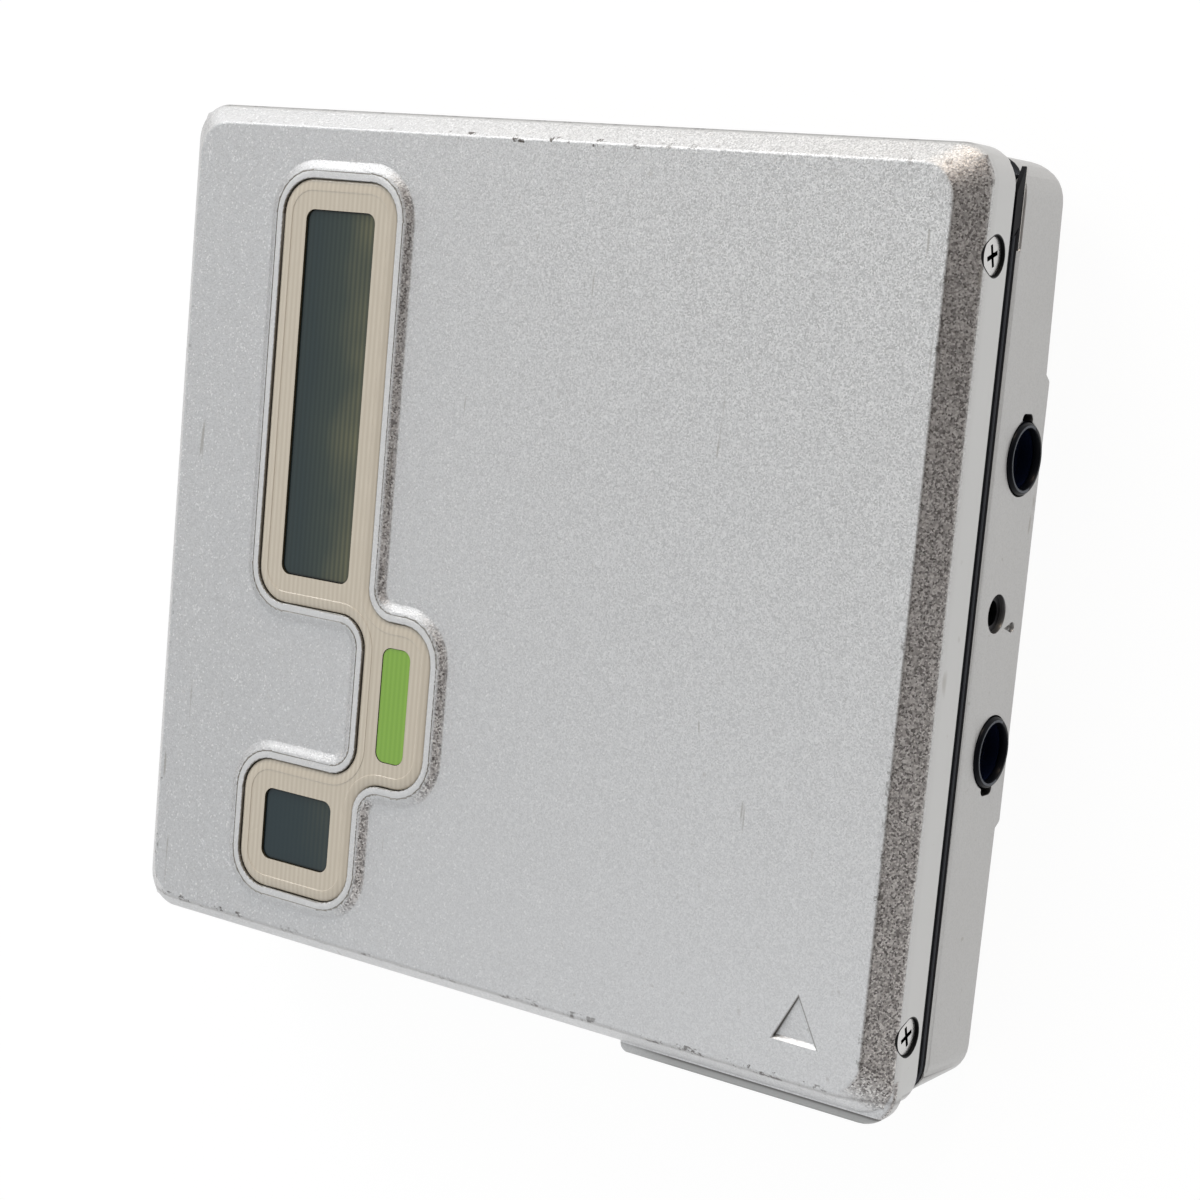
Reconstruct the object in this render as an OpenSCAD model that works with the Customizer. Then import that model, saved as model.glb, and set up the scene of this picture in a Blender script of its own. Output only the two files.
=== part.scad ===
// Portable player for small cartridge discs, lying on its back.
// +X is the socket side, +Y the hinge edge, +Z out of the lid; the origin is the middle of the back.

/* [Case] */
// Width of lid and base
case_w = 78; // [76:0.5:84]
// Length of the lid from lip edge to hinge edge
lid_l = 73.2; // [72:0.2:76]
// How far the lid stands over the base at each end
lid_over = 0.5; // [0.3:0.1:0.8]
// Height of the flat lid face above the back
case_t = 15.7; // [15.2:0.1:17]
// Corner radius seen from above
corner_r = 3; // [2:0.5:4]

/* [Lid] */
// Thickness of the lid's side walls
lid_wall = 1; // [0.8:0.1:1.2]
// Thickness of the lid's face
lid_skin = 0.8; // [0.6:0.1:1]
// Width of the bevel along the sides
bevel_x = 2.25; // [1.5:0.05:3]
// Width of the bevel along the lip and hinge edges
bevel_y = 1.7; // [1:0.1:2.5]
// Height of the bevel
bevel_drop = 2.05; // [1.5:0.05:2.4]
// Depth of the side walls below the face
lid_depth = 5.55; // [5.2:0.05:5.8]
// How far the lifting lip stands out
lip_out = 0.8; // [0.5:0.1:1.2]
// Length of the lifting lip
lip_l = 25; // [15:0.5:40]
// Largest opening angle of the lid
lid_angle = 35; // [20:1:36]

/* [Window] */
// Distance of the window bezel from the lid's left side
window_in = 12.85; // [12:0.05:14]
// Width of the bezel's column
column_w = 12.4; // [11:0.1:13]
// Reach of the bridge beside the column
bridge_w = 7.2; // [6.5:0.1:8]
// Distance of the long display block from the hinge edge
long_in = 6.1; // [5.5:0.1:8]
// Bottom of the long display block
long_bottom = -5.95; // [-7:0.05:-5]
// Top of the small display block
small_top = -20; // [-21:0.1:-19]
// Distance of the small display block from the lip edge
small_in = 5.25; // [4.5:0.05:6]
// Radius of the bezel's corners
window_r = 3; // [2.6:0.1:3.4]
// Radius of the bezel's inner corners
neck_r = 2.8; // [2.4:0.1:3]
// Width of the flat top of the raised rim
rim_flat = 0.65; // [0.4:0.05:0.8]
// Width of the rim's slope
rim_slope = 0.9; // [0.6:0.1:1.2]
// Height of the raised rim
rim_h = 0.5; // [0.3:0.1:0.7]
// Gap round the bezel
bezel_gap = 0.1; // [0.05:0.01:0.15]
// Bezel face below the top of the rim
bezel_sink = 0.15; // [0.1:0.05:0.25]
// Width of the displays
display_w = 7.6; // [6:0.1:8]
// Border between bezel and displays
display_border = 2.5; // [2.2:0.1:3]
// Corner radius of the displays
display_r = 0.9; // [0.5:0.1:1.2]
// Display face below the bezel's face
display_sink = 0.2; // [0.1:0.05:0.4]
// Width of the accent bar
bar_w = 3; // [2:0.1:4]
// Length of the accent bar
bar_l = 9.9; // [8:0.1:10.5]

/* [Base] */
// Thickness of the base's side walls
base_wall = 1.2; // [1:0.1:1.3]
// Thickness of the base's floor
back_wall = 0.9; // [0.8:0.1:1]
// Gap between the rims of lid and base
seam_gap = 1.4; // [1.3:0.05:1.6]
// Height of the raised middle of the back
back_step = 1; // [0.6:0.1:1.1]
// Reach of the raised middle towards the lip edge, as a share of the half length
hump_low = 0.41; // [0.405:0.005:0.43]
// Reach of the raised middle towards the hinge edge, as a share of the half length
hump_high = 0.54; // [0.52:0.005:0.6]
// Rise of the back towards the hinge edge
hinge_taper = 0.6; // [0.2:0.1:0.7]
// Rise of the back towards the lip edge
lip_taper = 0.3; // [0.1:0.1:0.4]
// Rounding of the back's side edges
side_r = 0.5; // [0.3:0.1:1]

/* [Disc holder] */
// Thickness of the disc cartridge with its play
slot_t = 5.15; // [5.1:0.05:5.3]
// Thickness of the holder's sides
holder_wall = 0.7; // [0.5:0.1:0.8]
// Clearance between holder and base walls
holder_gap = 0.7; // [0.6:0.1:0.9]
// Width of the rails under the disc
rail_w = 3; // [2:0.5:4]
// Distance of the hinge axis from the base's hinge edge
hinge_in = 3.1; // [2.9:0.1:3.2]
// Height of the hinge axis below the base's rim
hinge_drop = 0.75; // [0.6:0.05:0.9]
// Radius of the hinge pins
hinge_r = 0.8; // [0.6:0.05:0.9]
// Radial clearance of turning and sliding fits
running_gap = 0.04; // [0.02:0.01:0.06]

/* [Fasteners] */
// Radius of a screw head
head_r = 1.4; // [1.2:0.05:1.45]
// Radius of a screw shank
shank_r = 0.7; // [0.6:0.05:0.8]
// Height of the lid screws below the lid's face
screw_drop = 3.3; // [3.1:0.05:3.6]
// Distance of two lid screws from the hinge edge
screw_in1 = 8; // [7.5:0.1:10]
// Distance of two lid screws from the lip edge
screw_in0 = 6.5; // [6:0.1:8]

/* [Sockets] */
// Height of the socket axes above the back
socket_z = 3.55; // [3.4:0.05:3.7]
// Distance of the headphone socket from the upper edge of the raised middle
headphone_in = 5.75; // [5.5:0.05:7]
// Distance of the power socket from the lower edge of the raised middle
power_in = 5.7; // [5.5:0.05:7]
// Radius of the sockets' holes in the case
socket_r = 2.9; // [2.7:0.05:3]
// Radius of the bore that takes the headphone plug
plug_r = 1.8; // [1.75:0.05:1.9]
// Radius of the bore that takes the power plug
power_r = 2.05; // [1.9:0.05:2.15]
// Place of the threaded bush between the sockets, as a share of their distance
bush_share = 0.48; // [0.4:0.01:0.6]
// Height of the bush's axis above the back
bush_z = 5.2; // [5:0.05:5.25]
// Outer radius of the bush
bush_r = 1.5; // [1.3:0.05:1.55]
// Radius of the bush's thread
thread_r = 1; // [0.8:0.05:1.1]

/* [Controls] */
// Gap between neighbouring buttons
button_gap = 2; // [1.6:0.1:3]
// Height of a button
button_h = 2.4; // [1.8:0.1:2.8]
// Height of the controls above the back
control_z = 4.6; // [4.4:0.05:4.8]
// How far a button stands out of the wall
button_out = 0.5; // [0.3:0.1:0.7]
// How far a button can be pressed
button_travel = 0.6; // [0.4:0.1:0.6]
// Distance of the hold switch from the left side
hold_in = 13; // [9:0.5:19]
// Distance of the opening slider from the right side
open_in = 12; // [11.5:0.5:13.5]
// Travel of the hold switch each way
hold_travel = 1; // [0.5:0.1:1.5]
// Travel of the opening slider
open_travel = 1.4; // [1:0.1:1.4]

/* [Battery] */
// Room left for the latch beside the battery
latch_room = 15; // [15:0.5:25]
// Gap between the battery door and its opening
door_gap = 0.1; // [0.08:0.01:0.15]

/* [Mechanism] */
// Length of the pickup sled
sled_l = 8.2; // [8.2:0.1:9]
// Module of the gear teeth
gear_module = 0.4; // [0.36:0.01:0.42]
// Teeth of the rack pinion
pinion_teeth = 10; // [10:1:10]
// Teeth of the drive gear
wheel_teeth = 20; // [20:1:20]
// Teeth of the motor pinion
motor_teeth = 8; // [8:1:8]
// Radius of the guide rods
rod_r = 0.8; // [0.6:0.05:0.85]
// Radius of the turntable
turntable_r = 7; // [6:0.1:7.5]
// Thickness of the deck
deck_t = 0.5; // [0.4:0.05:0.6]
// Thickness of the circuit boards
board_t = 0.4; // [0.3:0.05:0.5]

/* [Hidden] */
$fn = 48;
arc_steps = 8;
seat_gap = 0.05;
through = 1;
hair = 0.01;
hx = case_w / 2;
lid_y = lid_l / 2;
base_y = lid_y - lid_over;

// Heights, worked down from the lid's face
z_top = case_t;
z_bevel = z_top - bevel_drop;
z_rim = z_top - lid_depth;
z_base = z_rim - seam_gap;
z_skin = z_top - lid_skin;
flange_t = 0.8;
z_flange = z_skin - flange_t;
display_t = 0.9;
z_display = z_flange - display_t;
z_plate = z_display - board_t;
plate_t = 0.3;
z_slot = z_plate - plate_t;
z_floor = z_slot - slot_t;
rail_t = 0.4;
z_rail = z_floor - rail_t;
deck_gap = 0.35;
z_deck_top = z_rail - deck_gap;
z_deck = z_deck_top - deck_t;
front_gap = 0.25;
z_front = z_slot - front_gap;
z_hump = back_wall;
z_low = back_step + max(hinge_taper, lip_taper) + back_wall;

// Side to side, worked in from the case
x_lid = hx - lid_wall;
x_base = hx - base_wall;
x_holder = x_base - holder_gap;
x_slot = x_holder - holder_wall;
y_base = base_y - base_wall;

// Hinge axis
hinge_y = base_y - hinge_in;
hinge_z = z_base - hinge_drop;

// Places along the case
hump_y0 = -hump_low * base_y;
hump_y1 = hump_high * base_y;
frame_ends = [1.9, 2];
frame_y0 = -y_base + frame_ends[0];
frame_y1 = hinge_y - frame_ends[1];
deck_side = 2.5;
deck_ends = [0.2, 4];
deck_x0 = x_base - deck_side;
deck_y0 = hump_y0 - deck_ends[0];
deck_y1 = hinge_y - deck_ends[1];
headphone_y = hump_y1 - headphone_in;
power_y = hump_y0 + power_in;
bush_y = power_y + bush_share * (headphone_y - power_y);
hold_x = hold_in - hx;
open_x = hx - open_in;
window_left = window_in - hx;
long_top = lid_y - long_in;
small_bottom = small_in - lid_y;
screw_places = [screw_in0 - lid_y, lid_y - screw_in1];

// Buttons share the length beside the deck
button_count = 6;
button_ends = [5, 4];
button_pitch = (deck_y1 - deck_y0 - button_ends[0] - button_ends[1]) / (button_count - 1);
button_l = button_pitch - button_gap;
button_places = [for (i = [0 : button_count - 1]) deck_y0 + button_ends[0] + i * button_pitch];

// Battery between the lip edge wall and the deck
door_y0 = frame_y0 + 2 * seat_gap;
battery_in = 0.5;
battery_y0 = door_y0 + battery_in;
box_t = 0.4;
box_gap = 0.8;
holder_in = 0.9;
box_y = [-y_base + holder_in, deck_y0 - box_gap - box_t];
battery_gap = 0.2;
battery_w = box_y[1] - battery_gap - battery_y0;
door_room = 0.6;
battery_x0 = -x_base + door_room;
battery_l = x_base - latch_room - battery_x0;

// Shapes that repeat
function arc(c, r, a0, a1) =
    [for (i = [0 : arc_steps]) let (a = a0 + (a1 - a0) * i / arc_steps) c + r * [cos(a), sin(a)]];

function rounded(lo, hi, r) = concat(
    arc([hi.x - r, hi.y - r], r, 0, 90),
    arc([lo.x + r, hi.y - r], r, 90, 180),
    arc([lo.x + r, lo.y + r], r, 180, 270),
    arc([hi.x - r, lo.y + r], r, 270, 360));

module span(lo, hi) {
    translate(lo) cube(hi - lo);
}

module slab(points, z0, z1) {
    translate([0, 0, z0]) linear_extrude(z1 - z0) polygon(points);
}

module along_x(x0, x1) {
    translate([x0, 0, 0]) rotate([90, 0, 90]) linear_extrude(x1 - x0) children();
}

module along_y(y0, y1) {
    translate([0, y1, 0]) rotate([90, 0, 0]) linear_extrude(y1 - y0) children();
}

module pin_x(y, z, r, x0, x1) {
    translate([x0, y, z]) rotate([0, 90, 0]) cylinder(r = r, h = x1 - x0);
}

module pin_y(x, z, r, y0, y1) {
    translate([x, y1, z]) rotate([90, 0, 0]) cylinder(r = r, h = y1 - y0);
}

module pin_z(x, y, r, z0, z1) {
    translate([x, y, z0]) cylinder(r = r, h = z1 - z0);
}

module both_sides() {
    children();
    mirror([1, 0, 0]) children();
}

// Outline of lid or base from above, drawn in by the given amounts
function plan(half_y, dx, dy, r) = rounded([dx - hx, dy - half_y], [hx - dx, half_y - dy], r);

// Window outline: corners as x, y and radius, moved outwards by d
window_right = window_left + column_w;
bridge_right = window_right + bridge_w;
bridge_top = long_bottom;
bridge_bottom = small_top;

function window_corners(d) = [
    [window_left - d, long_top + d, window_r + d],
    [window_right + d, long_top + d, window_r + d],
    [window_right + d, bridge_top + d, neck_r - d],
    [bridge_right + d, bridge_top + d, window_r + d],
    [bridge_right + d, bridge_bottom - d, window_r + d],
    [window_right + d, bridge_bottom - d, neck_r - d],
    [window_right + d, small_bottom - d, window_r + d],
    [window_left - d, small_bottom - d, window_r + d],
    [window_left - d, small_top + d, window_r + d],
    [window_right - d, small_top + d, neck_r - d],
    [window_right - d, long_bottom - d, neck_r - d],
    [window_left - d, long_bottom - d, window_r + d]];

function flat(p) = [p.x, p.y];
function unit(v) = v / norm(v);

function fillet(before, corner, after) =
    let (u = unit(flat(corner) - flat(before)), v = unit(flat(after) - flat(corner)), r = corner.z)
    let (c = flat(corner) + r * (v - u))
    [for (i = [0 : arc_steps]) let (a = 90 * i / arc_steps) c + r * (u * sin(a) - v * cos(a))];

function window_outline(d) =
    let (c = window_corners(d), n = len(c))
    [for (i = [0 : n - 1]) each fillet(c[(i + n - 1) % n], c[i], c[(i + 1) % n])];

// A ring that passes through outlines with the same number of points, each given as [outline, height]
module ring(sections) {
    n = len(sections[0][0]);
    m = len(sections);
    points = [for (s = sections) each [for (p = s[0]) [p.x, p.y, s[1]]]];
    faces = [for (k = [0 : m - 1], i = [0 : n - 1])
        let (j = (i + 1) % n, a = k * n, b = ((k + 1) % m) * n)
        each [[a + i, a + j, b + j], [a + i, b + j, b + i]]];
    polyhedron(points, faces);
}

// Display and accent bar openings in the bezel
long_display_lo = [window_left + display_border, long_bottom + display_border];
long_display_hi = [long_display_lo.x + display_w, long_top - display_border];
small_display_lo = [window_left + display_border, small_bottom + display_border];
small_display_hi = [small_display_lo.x + display_w, small_top - display_border];
bar_c = [(window_right + bridge_right) / 2, (bridge_top + bridge_bottom) / 2];
bar_half = [bar_w / 2, bar_l / 2];
z_bezel = z_top + rim_h - bezel_sink;
z_glass = z_bezel - display_sink;

// Lid screws
screw_z = z_top - screw_drop;
seat_depth = 0.25;
cone_h = head_r - shank_r;

module lid_form(wall, skin) {
    slab(plan(lid_y, wall, wall, corner_r - wall), z_rim - (wall > 0 ? seam_gap : 0), z_bevel - skin / 2);
    hull() {
        slab(plan(lid_y, wall, wall, corner_r - wall), z_bevel - skin / 2 - hair, z_bevel - skin / 2);
        slab(plan(lid_y, bevel_x + wall / 2, bevel_y + wall / 2, corner_r - wall / 2),
            z_top - skin - hair, z_top - skin);
    }
}

// Sunk arrow that points the way the disc goes in
arrow_in = [8, 4.7];
arrow_c = [hx - arrow_in.x, arrow_in.y - lid_y];
arrow_w = 3.9;
arrow_h = 3.7;
arrow_depth = 0.3;
corner_cut = x_lid - seat_gap;
lip_round = 0.9;
lip_r = lip_round * lip_out;

module lid_shell() {
    window = window_outline(bezel_gap);
    rim_inner = window_outline(-bezel_gap);
    rim_outer = window_outline(rim_flat + rim_slope);
    lip_y = -lid_y - lip_out;
    color("silver") difference() {
        union() {
            lid_form(0, 0);
            ring([
                [rim_outer, z_top], [window_outline(rim_flat), z_top + rim_h], [rim_inner, z_top + rim_h],
                [rim_inner, z_top - lid_skin / 2], [rim_outer, z_top - lid_skin / 2]]);
            intersection() {
                slab(rounded([-hx, lip_y], [hx, lid_y], corner_r), z_slot, z_bevel);
                slab(rounded([hx - lip_l, lip_y], [hx + corner_r, corner_r - lid_y], lip_r), 0, z_top);
            }
        }
        lid_form(lid_wall, lid_skin);
        slab(window, z_flange, z_top + 2 * rim_h);
        span([-corner_cut, -lid_y - 2 * lip_out, z_rim - seam_gap], [corner_cut, corner_r - lid_y, z_slot]);
        translate([arrow_c.x, arrow_c.y, z_top - arrow_depth]) linear_extrude(lid_skin)
            polygon([[-arrow_w / 2, 0], [arrow_w / 2, 0], [0, arrow_h]]);
        both_sides() for (y = screw_places) {
            pin_x(y, screw_z, head_r + 2 * seat_gap, hx - seat_depth, hx + seat_depth);
            translate([hx - seat_depth - cone_h, y, screw_z]) rotate([0, 90, 0])
                cylinder(r1 = shank_r + seat_gap, r2 = head_r + seat_gap, h = cone_h + seat_gap / 2);
            pin_x(y, screw_z, shank_r + seat_gap, x_lid - lid_wall, hx);
        }
    }
}

// Cross-head screw with a countersunk head; the head's face is at the origin and the shank runs along -Z
cross_w = 0.36;
cross_l = 1.7;
cross_d = 0.35;
cross_turn = 20;

module cross(depth) {
    for (turn = [0, 90]) rotate(cross_turn + turn) translate([-cross_l / 2, -cross_w / 2, -depth])
        cube([cross_l, cross_w, 2 * depth]);
}

module cross_screw(length) {
    difference() {
        union() {
            translate([0, 0, -cone_h]) cylinder(r1 = shank_r, r2 = head_r, h = cone_h);
            translate([0, 0, -length]) cylinder(r = shank_r, h = length - cone_h / 2);
        }
        cross(cross_d);
    }
}

module lid_screws() {
    color("lightgray") both_sides() for (y = screw_places)
        translate([hx - seat_depth, y, screw_z]) rotate([0, 90, 0])
            cross_screw(hx - seat_depth - x_slot - 2 * seat_gap);
}

// Bezel, displays and board in the lid
bezel_flange = 0.7;

module window_bezel() {
    color("tan") difference() {
        union() {
            slab(window_outline(0), z_flange, z_bezel);
            slab(window_outline(bezel_flange), z_flange, z_skin);
        }
        slab(rounded(long_display_lo, long_display_hi, display_r), 0, 2 * case_t);
        slab(rounded(small_display_lo, small_display_hi, display_r), 0, 2 * case_t);
        slab(rounded(bar_c - bar_half, bar_c + bar_half, display_r), 0, 2 * case_t);
    }
}

// A display: a face that stands in its opening on a wider block behind the bezel
display_edge = 1;

module display(lo, hi, top) {
    inset = [seat_gap, seat_gap];
    edge = [display_edge, display_edge];
    slab(rounded(lo + inset, hi - inset, display_r - seat_gap), z_display, top);
    slab(rounded(lo - edge, hi + edge, display_r), z_display, z_flange);
}

module long_display() {
    color("darkslategray") display(long_display_lo, long_display_hi, z_glass);
}

module small_display() {
    color("darkslategray") display(small_display_lo, small_display_hi, z_glass);
}

module accent_bar() {
    color("yellowgreen") display(bar_c - bar_half, bar_c + bar_half, z_bezel - seat_gap);
}

board_edge = 1.5;
board_r = 1;

module display_board() {
    lo = [window_left - board_edge, small_bottom - board_edge];
    hi = [bridge_right + board_edge, long_top + board_edge];
    color("darkgreen") slab(rounded(lo, hi, board_r), z_plate, z_display);
}

// Lid frame: holds the disc between its top plate and its rails, and turns on the hinge pins
flange_in = [0.45, 0.5];
flange_z0 = z_rim + flange_in[0];
flange_z1 = z_bevel - flange_in[1];
eye_r = 1.4;
stop_h = 2.1;
stop_z = z_slot - stop_h;
stop_t = 0.5;
plate_y0 = -y_base + holder_in;
plate_y1 = hinge_y + holder_in;
arm_x = x_holder + 2 * seat_gap;
tongue_w = 1.8;
catch_in = 0.2;
tongue_z = control_z - catch_in;
catch_y = frame_y0 + catch_in;
catch_w = 1.4;
catch_z0 = control_z + catch_in / 2;
catch_h = 1.1;

module lid_frame() {
    color("dimgray") difference() {
        union() {
            span([-x_slot - seat_gap, plate_y0, z_slot], [x_slot + seat_gap, plate_y1, z_plate]);
            span([-x_slot + rail_w, plate_y1, stop_z], [x_slot - rail_w, plate_y1 + stop_t, z_plate]);
            both_sides() {
                span([x_slot, frame_y0, flange_z0], [x_lid - seat_gap, frame_y1, flange_z1]);
                span([x_slot, frame_y0, z_rail], [x_holder, frame_y1, flange_z0 + plate_t]);
                span([x_slot - rail_w, frame_y0, z_rail], [x_slot + seat_gap, frame_y1, z_floor]);
                span([x_slot, frame_y1 - rail_w, z_rail], [arm_x, hinge_y, hinge_z + eye_r]);
                pin_x(hinge_y, hinge_z, eye_r, x_slot, arm_x);
            }
            span([x_slot, frame_y0, tongue_z], [x_holder, frame_y0 + tongue_w, z_floor]);
        }
        both_sides() {
            pin_x(hinge_y, hinge_z, hinge_r + running_gap, x_slot - through, arm_x + through);
            for (y = screw_places) pin_x(y, screw_z, shank_r + seat_gap / 2, x_slot - through, hx);
        }
        span([x_slot - through, catch_y, catch_z0],
            [x_holder + through, catch_y + catch_w, catch_z0 + catch_h]);
    }
}

pin_in = 0.4;

module hinge_pins() {
    color("lightgray") both_sides() pin_x(hinge_y, hinge_z, hinge_r, x_slot - pin_in, hx - base_wall / 2);
}

// Base shell: a tub whose back steps out in the middle
rim_chamfer = [0.25, 0.45];
lid_swing = hinge_z + (z_rim - hinge_z) / cos(lid_angle) - hinge_in * tan(lid_angle);
swing_gap = 0.55;
relief = [1.6, z_base - lid_swing + swing_gap];
edge_r = 1.2;
hinge_r_back = 1.6;
hump_slope = 0.7;
z_lip_end = back_step + lip_taper;
z_hinge_end = back_step + hinge_taper;

// Side view of the base, with walls drawn in by w and the floor raised by t
function back_profile(w, t) = concat(
    [[w - base_y, z_base + t], [w - base_y, z_lip_end + t + edge_r]],
    arc([w - base_y + edge_r, z_lip_end + t + edge_r], edge_r, 180, 270),
    [[hump_y0 - hump_slope + w, back_step + t], [hump_y0 + w, t], [hump_y1 - w, t],
        [hump_y1 + hump_slope - w, back_step + t]],
    arc([base_y - w - hinge_r_back, z_hinge_end + t + hinge_r_back], hinge_r_back, 270, 360),
    [[base_y - w, z_base + t - relief.y], [base_y - w - relief.x, z_base + t]]);

function end_profile(w, t) = concat(
    [[w - hx + rim_chamfer.x, z_base + t], [w - hx, z_base + t - rim_chamfer.y], [w - hx, t + side_r]],
    arc([w - hx + side_r, t + side_r], side_r, 180, 270),
    arc([hx - w - side_r, t + side_r], side_r, 270, 360),
    [[hx - w, z_base + t - rim_chamfer.y], [hx - w - rim_chamfer.x, z_base + t]]);

module tub(w, t) {
    intersection() {
        slab(plan(base_y, w, w, corner_r - w), 0, z_base + 2 * t);
        along_x(-hx, hx) polygon(back_profile(w, t));
        along_y(-base_y, base_y) polygon(end_profile(w, t));
    }
}

// Places of the studs that carry the deck
disc_shift = 0.6;
spindle_y = (plate_y0 + plate_y1 + stop_t) / 2 - disc_shift;
motor_flange_r = 8.4;
deck_edge = 1.1;
deck_x1 = motor_flange_r + deck_edge;
stud_sides = [4.3, 3.5];
stud_ends = [2.8, 4];
stud_x = [stud_sides[0] - deck_x0, deck_x1 - stud_sides[1]];
stud_y = [deck_y0 + stud_ends[0], deck_y1 - stud_ends[1]];
stud_places = [for (x = stud_x, y = stud_y) [x, y]];
stud_r = 1.2;
bore_r = 0.6;
counterbore = 0.45;

low_y0 = hump_y1 + hump_slope;
low_y1 = base_y - hinge_r_back;

function back_z(y) = y > hump_y1 ? back_step + hinge_taper * (y - low_y0) / (low_y1 - low_y0) : 0;
function floor_z(y) = back_z(y + base_wall) + back_wall;

// Battery door, marks and slots in the walls
door_edge = [0.5, 0.3];
door_y1 = door_y0 + battery_w + 2 * battery_in;
door_z = z_low + door_edge[0];
door_top = z_deck + door_edge[1];
knuckle_r = 0.6;
door_pin_r = 0.3;
door_x = hx - knuckle_r;
x_neck = x_base - side_r - 2 * seat_gap;
dent_off = [-1.25, -3];
dent_c = [bush_y, bush_z] + dent_off;
dent_r = 0.4;
dent_tip = 3.2;
key_w = 1.8;
key_h = 0.5;
key_r = 0.45;
hold_knob = [5, 1.7];
open_knob = [9, 2];
slot_gap = [0.2, 0.2];
hold_slot = hold_knob + slot_gap + [2 * hold_travel, 0];
open_slot = open_knob + slot_gap + [open_travel, 0];

// Black cheeks let into the side walls beside the hinge
cheek_reach = [3.8, 2.4];
cheek_y0 = hinge_y - cheek_reach[0];
cheek_y1 = hinge_y + cheek_reach[1];
cheek_drop = 0.5;
cheek_z0 = z_base - cheek_drop;
cheek_t = 0.5;
cheek_r = 0.25;
cheek_sink = 0.15;
cheek_flat = 0.4;
cheek_top = z_base + 0.6 * seam_gap;
cheek_rear = lid_swing + 2 * seat_gap;

function cheek_sides(gap) = concat(
    arc([cheek_y0 + cheek_r, cheek_z0 + cheek_r], cheek_r - gap, 180, 270),
    arc([cheek_y1 - cheek_r, cheek_z0 + cheek_r], cheek_r - gap, 270, 360));

module wall_slot_y(x, z, size) {
    along_y(-base_y - through, -y_base + through)
        polygon(rounded([x, z] - size / 2, [x, z] + size / 2, size.y / 2 - hair));
}

module base_shell() {
    half = [button_l / 2, button_h / 2] + [2, 2] * seat_gap;
    key = [key_h, key_w / 2];
    color("gainsboro") difference() {
        union() {
            difference() {
                tub(0, 0);
                tub(base_wall, back_wall);
            }
            intersection() {
                slab(plan(base_y, 0, 0, corner_r), z_base - through, z_front);
                span([front_gap - x_lid, -base_y, 0], [x_lid - front_gap, -y_base, z_front]);
            }
        }
        for (s = [[headphone_y, 1], [power_y, -1]]) {
            notch = [s[0] + s[1] * socket_r, socket_z];
            pin_x(s[0], socket_z, socket_r, x_neck - 2 * seat_gap, hx + through);
            along_x(x_base - through, hx + through) polygon(rounded(notch - key, notch + key, key_r));
        }
        pin_x(bush_y, bush_z, bush_r, x_base - through, hx + through);
        along_x(hx - dent_r, hx + through)
            polygon(concat(arc(dent_c, dent_r, 180, 360), [dent_c + [0, dent_tip * dent_r]]));
        for (y = button_places) along_x(-hx - through, through - x_base)
            polygon(rounded([y, control_z] - half, [y, control_z] + half, half.y - hair));
        span([-hx - through, door_y0, door_z - knuckle_r - door_gap], [-x_base + through, door_y1, door_top]);
        pin_y(-door_x, door_z, door_pin_r, door_y0 - through, door_y1 + through);
        wall_slot_y(hold_x, control_z, hold_slot);
        wall_slot_y(open_x + open_travel / 2, control_z, open_slot);
        both_sides() {
            pin_x(hinge_y, hinge_z, hinge_r, x_base - through, hx - base_wall / 2);
            along_x(hx - cheek_t, hx + through) polygon(concat(
                cheek_sides(0), [[cheek_y1, z_base + through], [cheek_y0, z_base + through]]));
        }
        for (p = stud_places) {
            pin_z(p.x, p.y, head_r + 2 * seat_gap, -through, back_z(p.y) + counterbore);
            pin_z(p.x, p.y, shank_r + seat_gap, -through, z_low + through);
        }
    }
}

// Black strips in the seam, with a slanted rear end and a step along the middle
strip_ends = [0.4, 0.2];
strip_y0 = -y_base + strip_ends[0];
strip_y1 = frame_y1 - strip_ends[1];
strip_out = 0.12;
strip_step = 0.1;
strip_head = 0.3;
strip_top = z_rim - strip_head;
strip_mid = (z_base + strip_top) / 2;
strip_side = 0.25;
strip_in = x_holder + strip_side;
strip_drop = 1.2;
strip_lean = 1.1;
strip_corner = x_lid - front_gap + 2 * seat_gap;

function strip_end(z) = strip_y1 - strip_lean * (z - z_base);

module strip_layer(inset, z0, z1) {
    intersection() {
        slab(plan(base_y, inset, inset, corner_r - inset), z0, z1);
        union() {
            span([strip_in, strip_y0, z0], [hx, strip_y1, z1]);
            span([strip_corner, -base_y, z0], [hx, strip_y0 + seat_gap, z1]);
        }
    }
}

module seam_strips() {
    color("black") both_sides() intersection() {
        union() {
            strip_layer(strip_out, z_base, strip_mid);
            strip_layer(strip_out + strip_step, strip_mid - seat_gap, strip_top);
            span([strip_in + seat_gap, frame_y0, z_base - strip_drop],
                [x_base, strip_y1, strip_mid - seat_gap]);
        }
        along_x(0, hx) polygon([
            [-base_y, 0], [strip_end(z_base), 0], [strip_end(z_base), z_base],
            [strip_end(z_rim), z_rim], [-base_y, z_rim]]);
    }
}

module hinge_cheeks() {
    gap = 2 * seat_gap;
    color("black") both_sides() along_x(hx - cheek_t, hx - cheek_sink) polygon(concat(
        [[cheek_y0 + seat_gap, z_base - seat_gap]], cheek_sides(seat_gap),
        [[cheek_y1 - seat_gap, cheek_rear], [hinge_y + cheek_flat, cheek_top],
            [strip_end(cheek_top) + gap, cheek_top], [strip_end(z_base) + gap, z_base - seat_gap]]));
}

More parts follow.
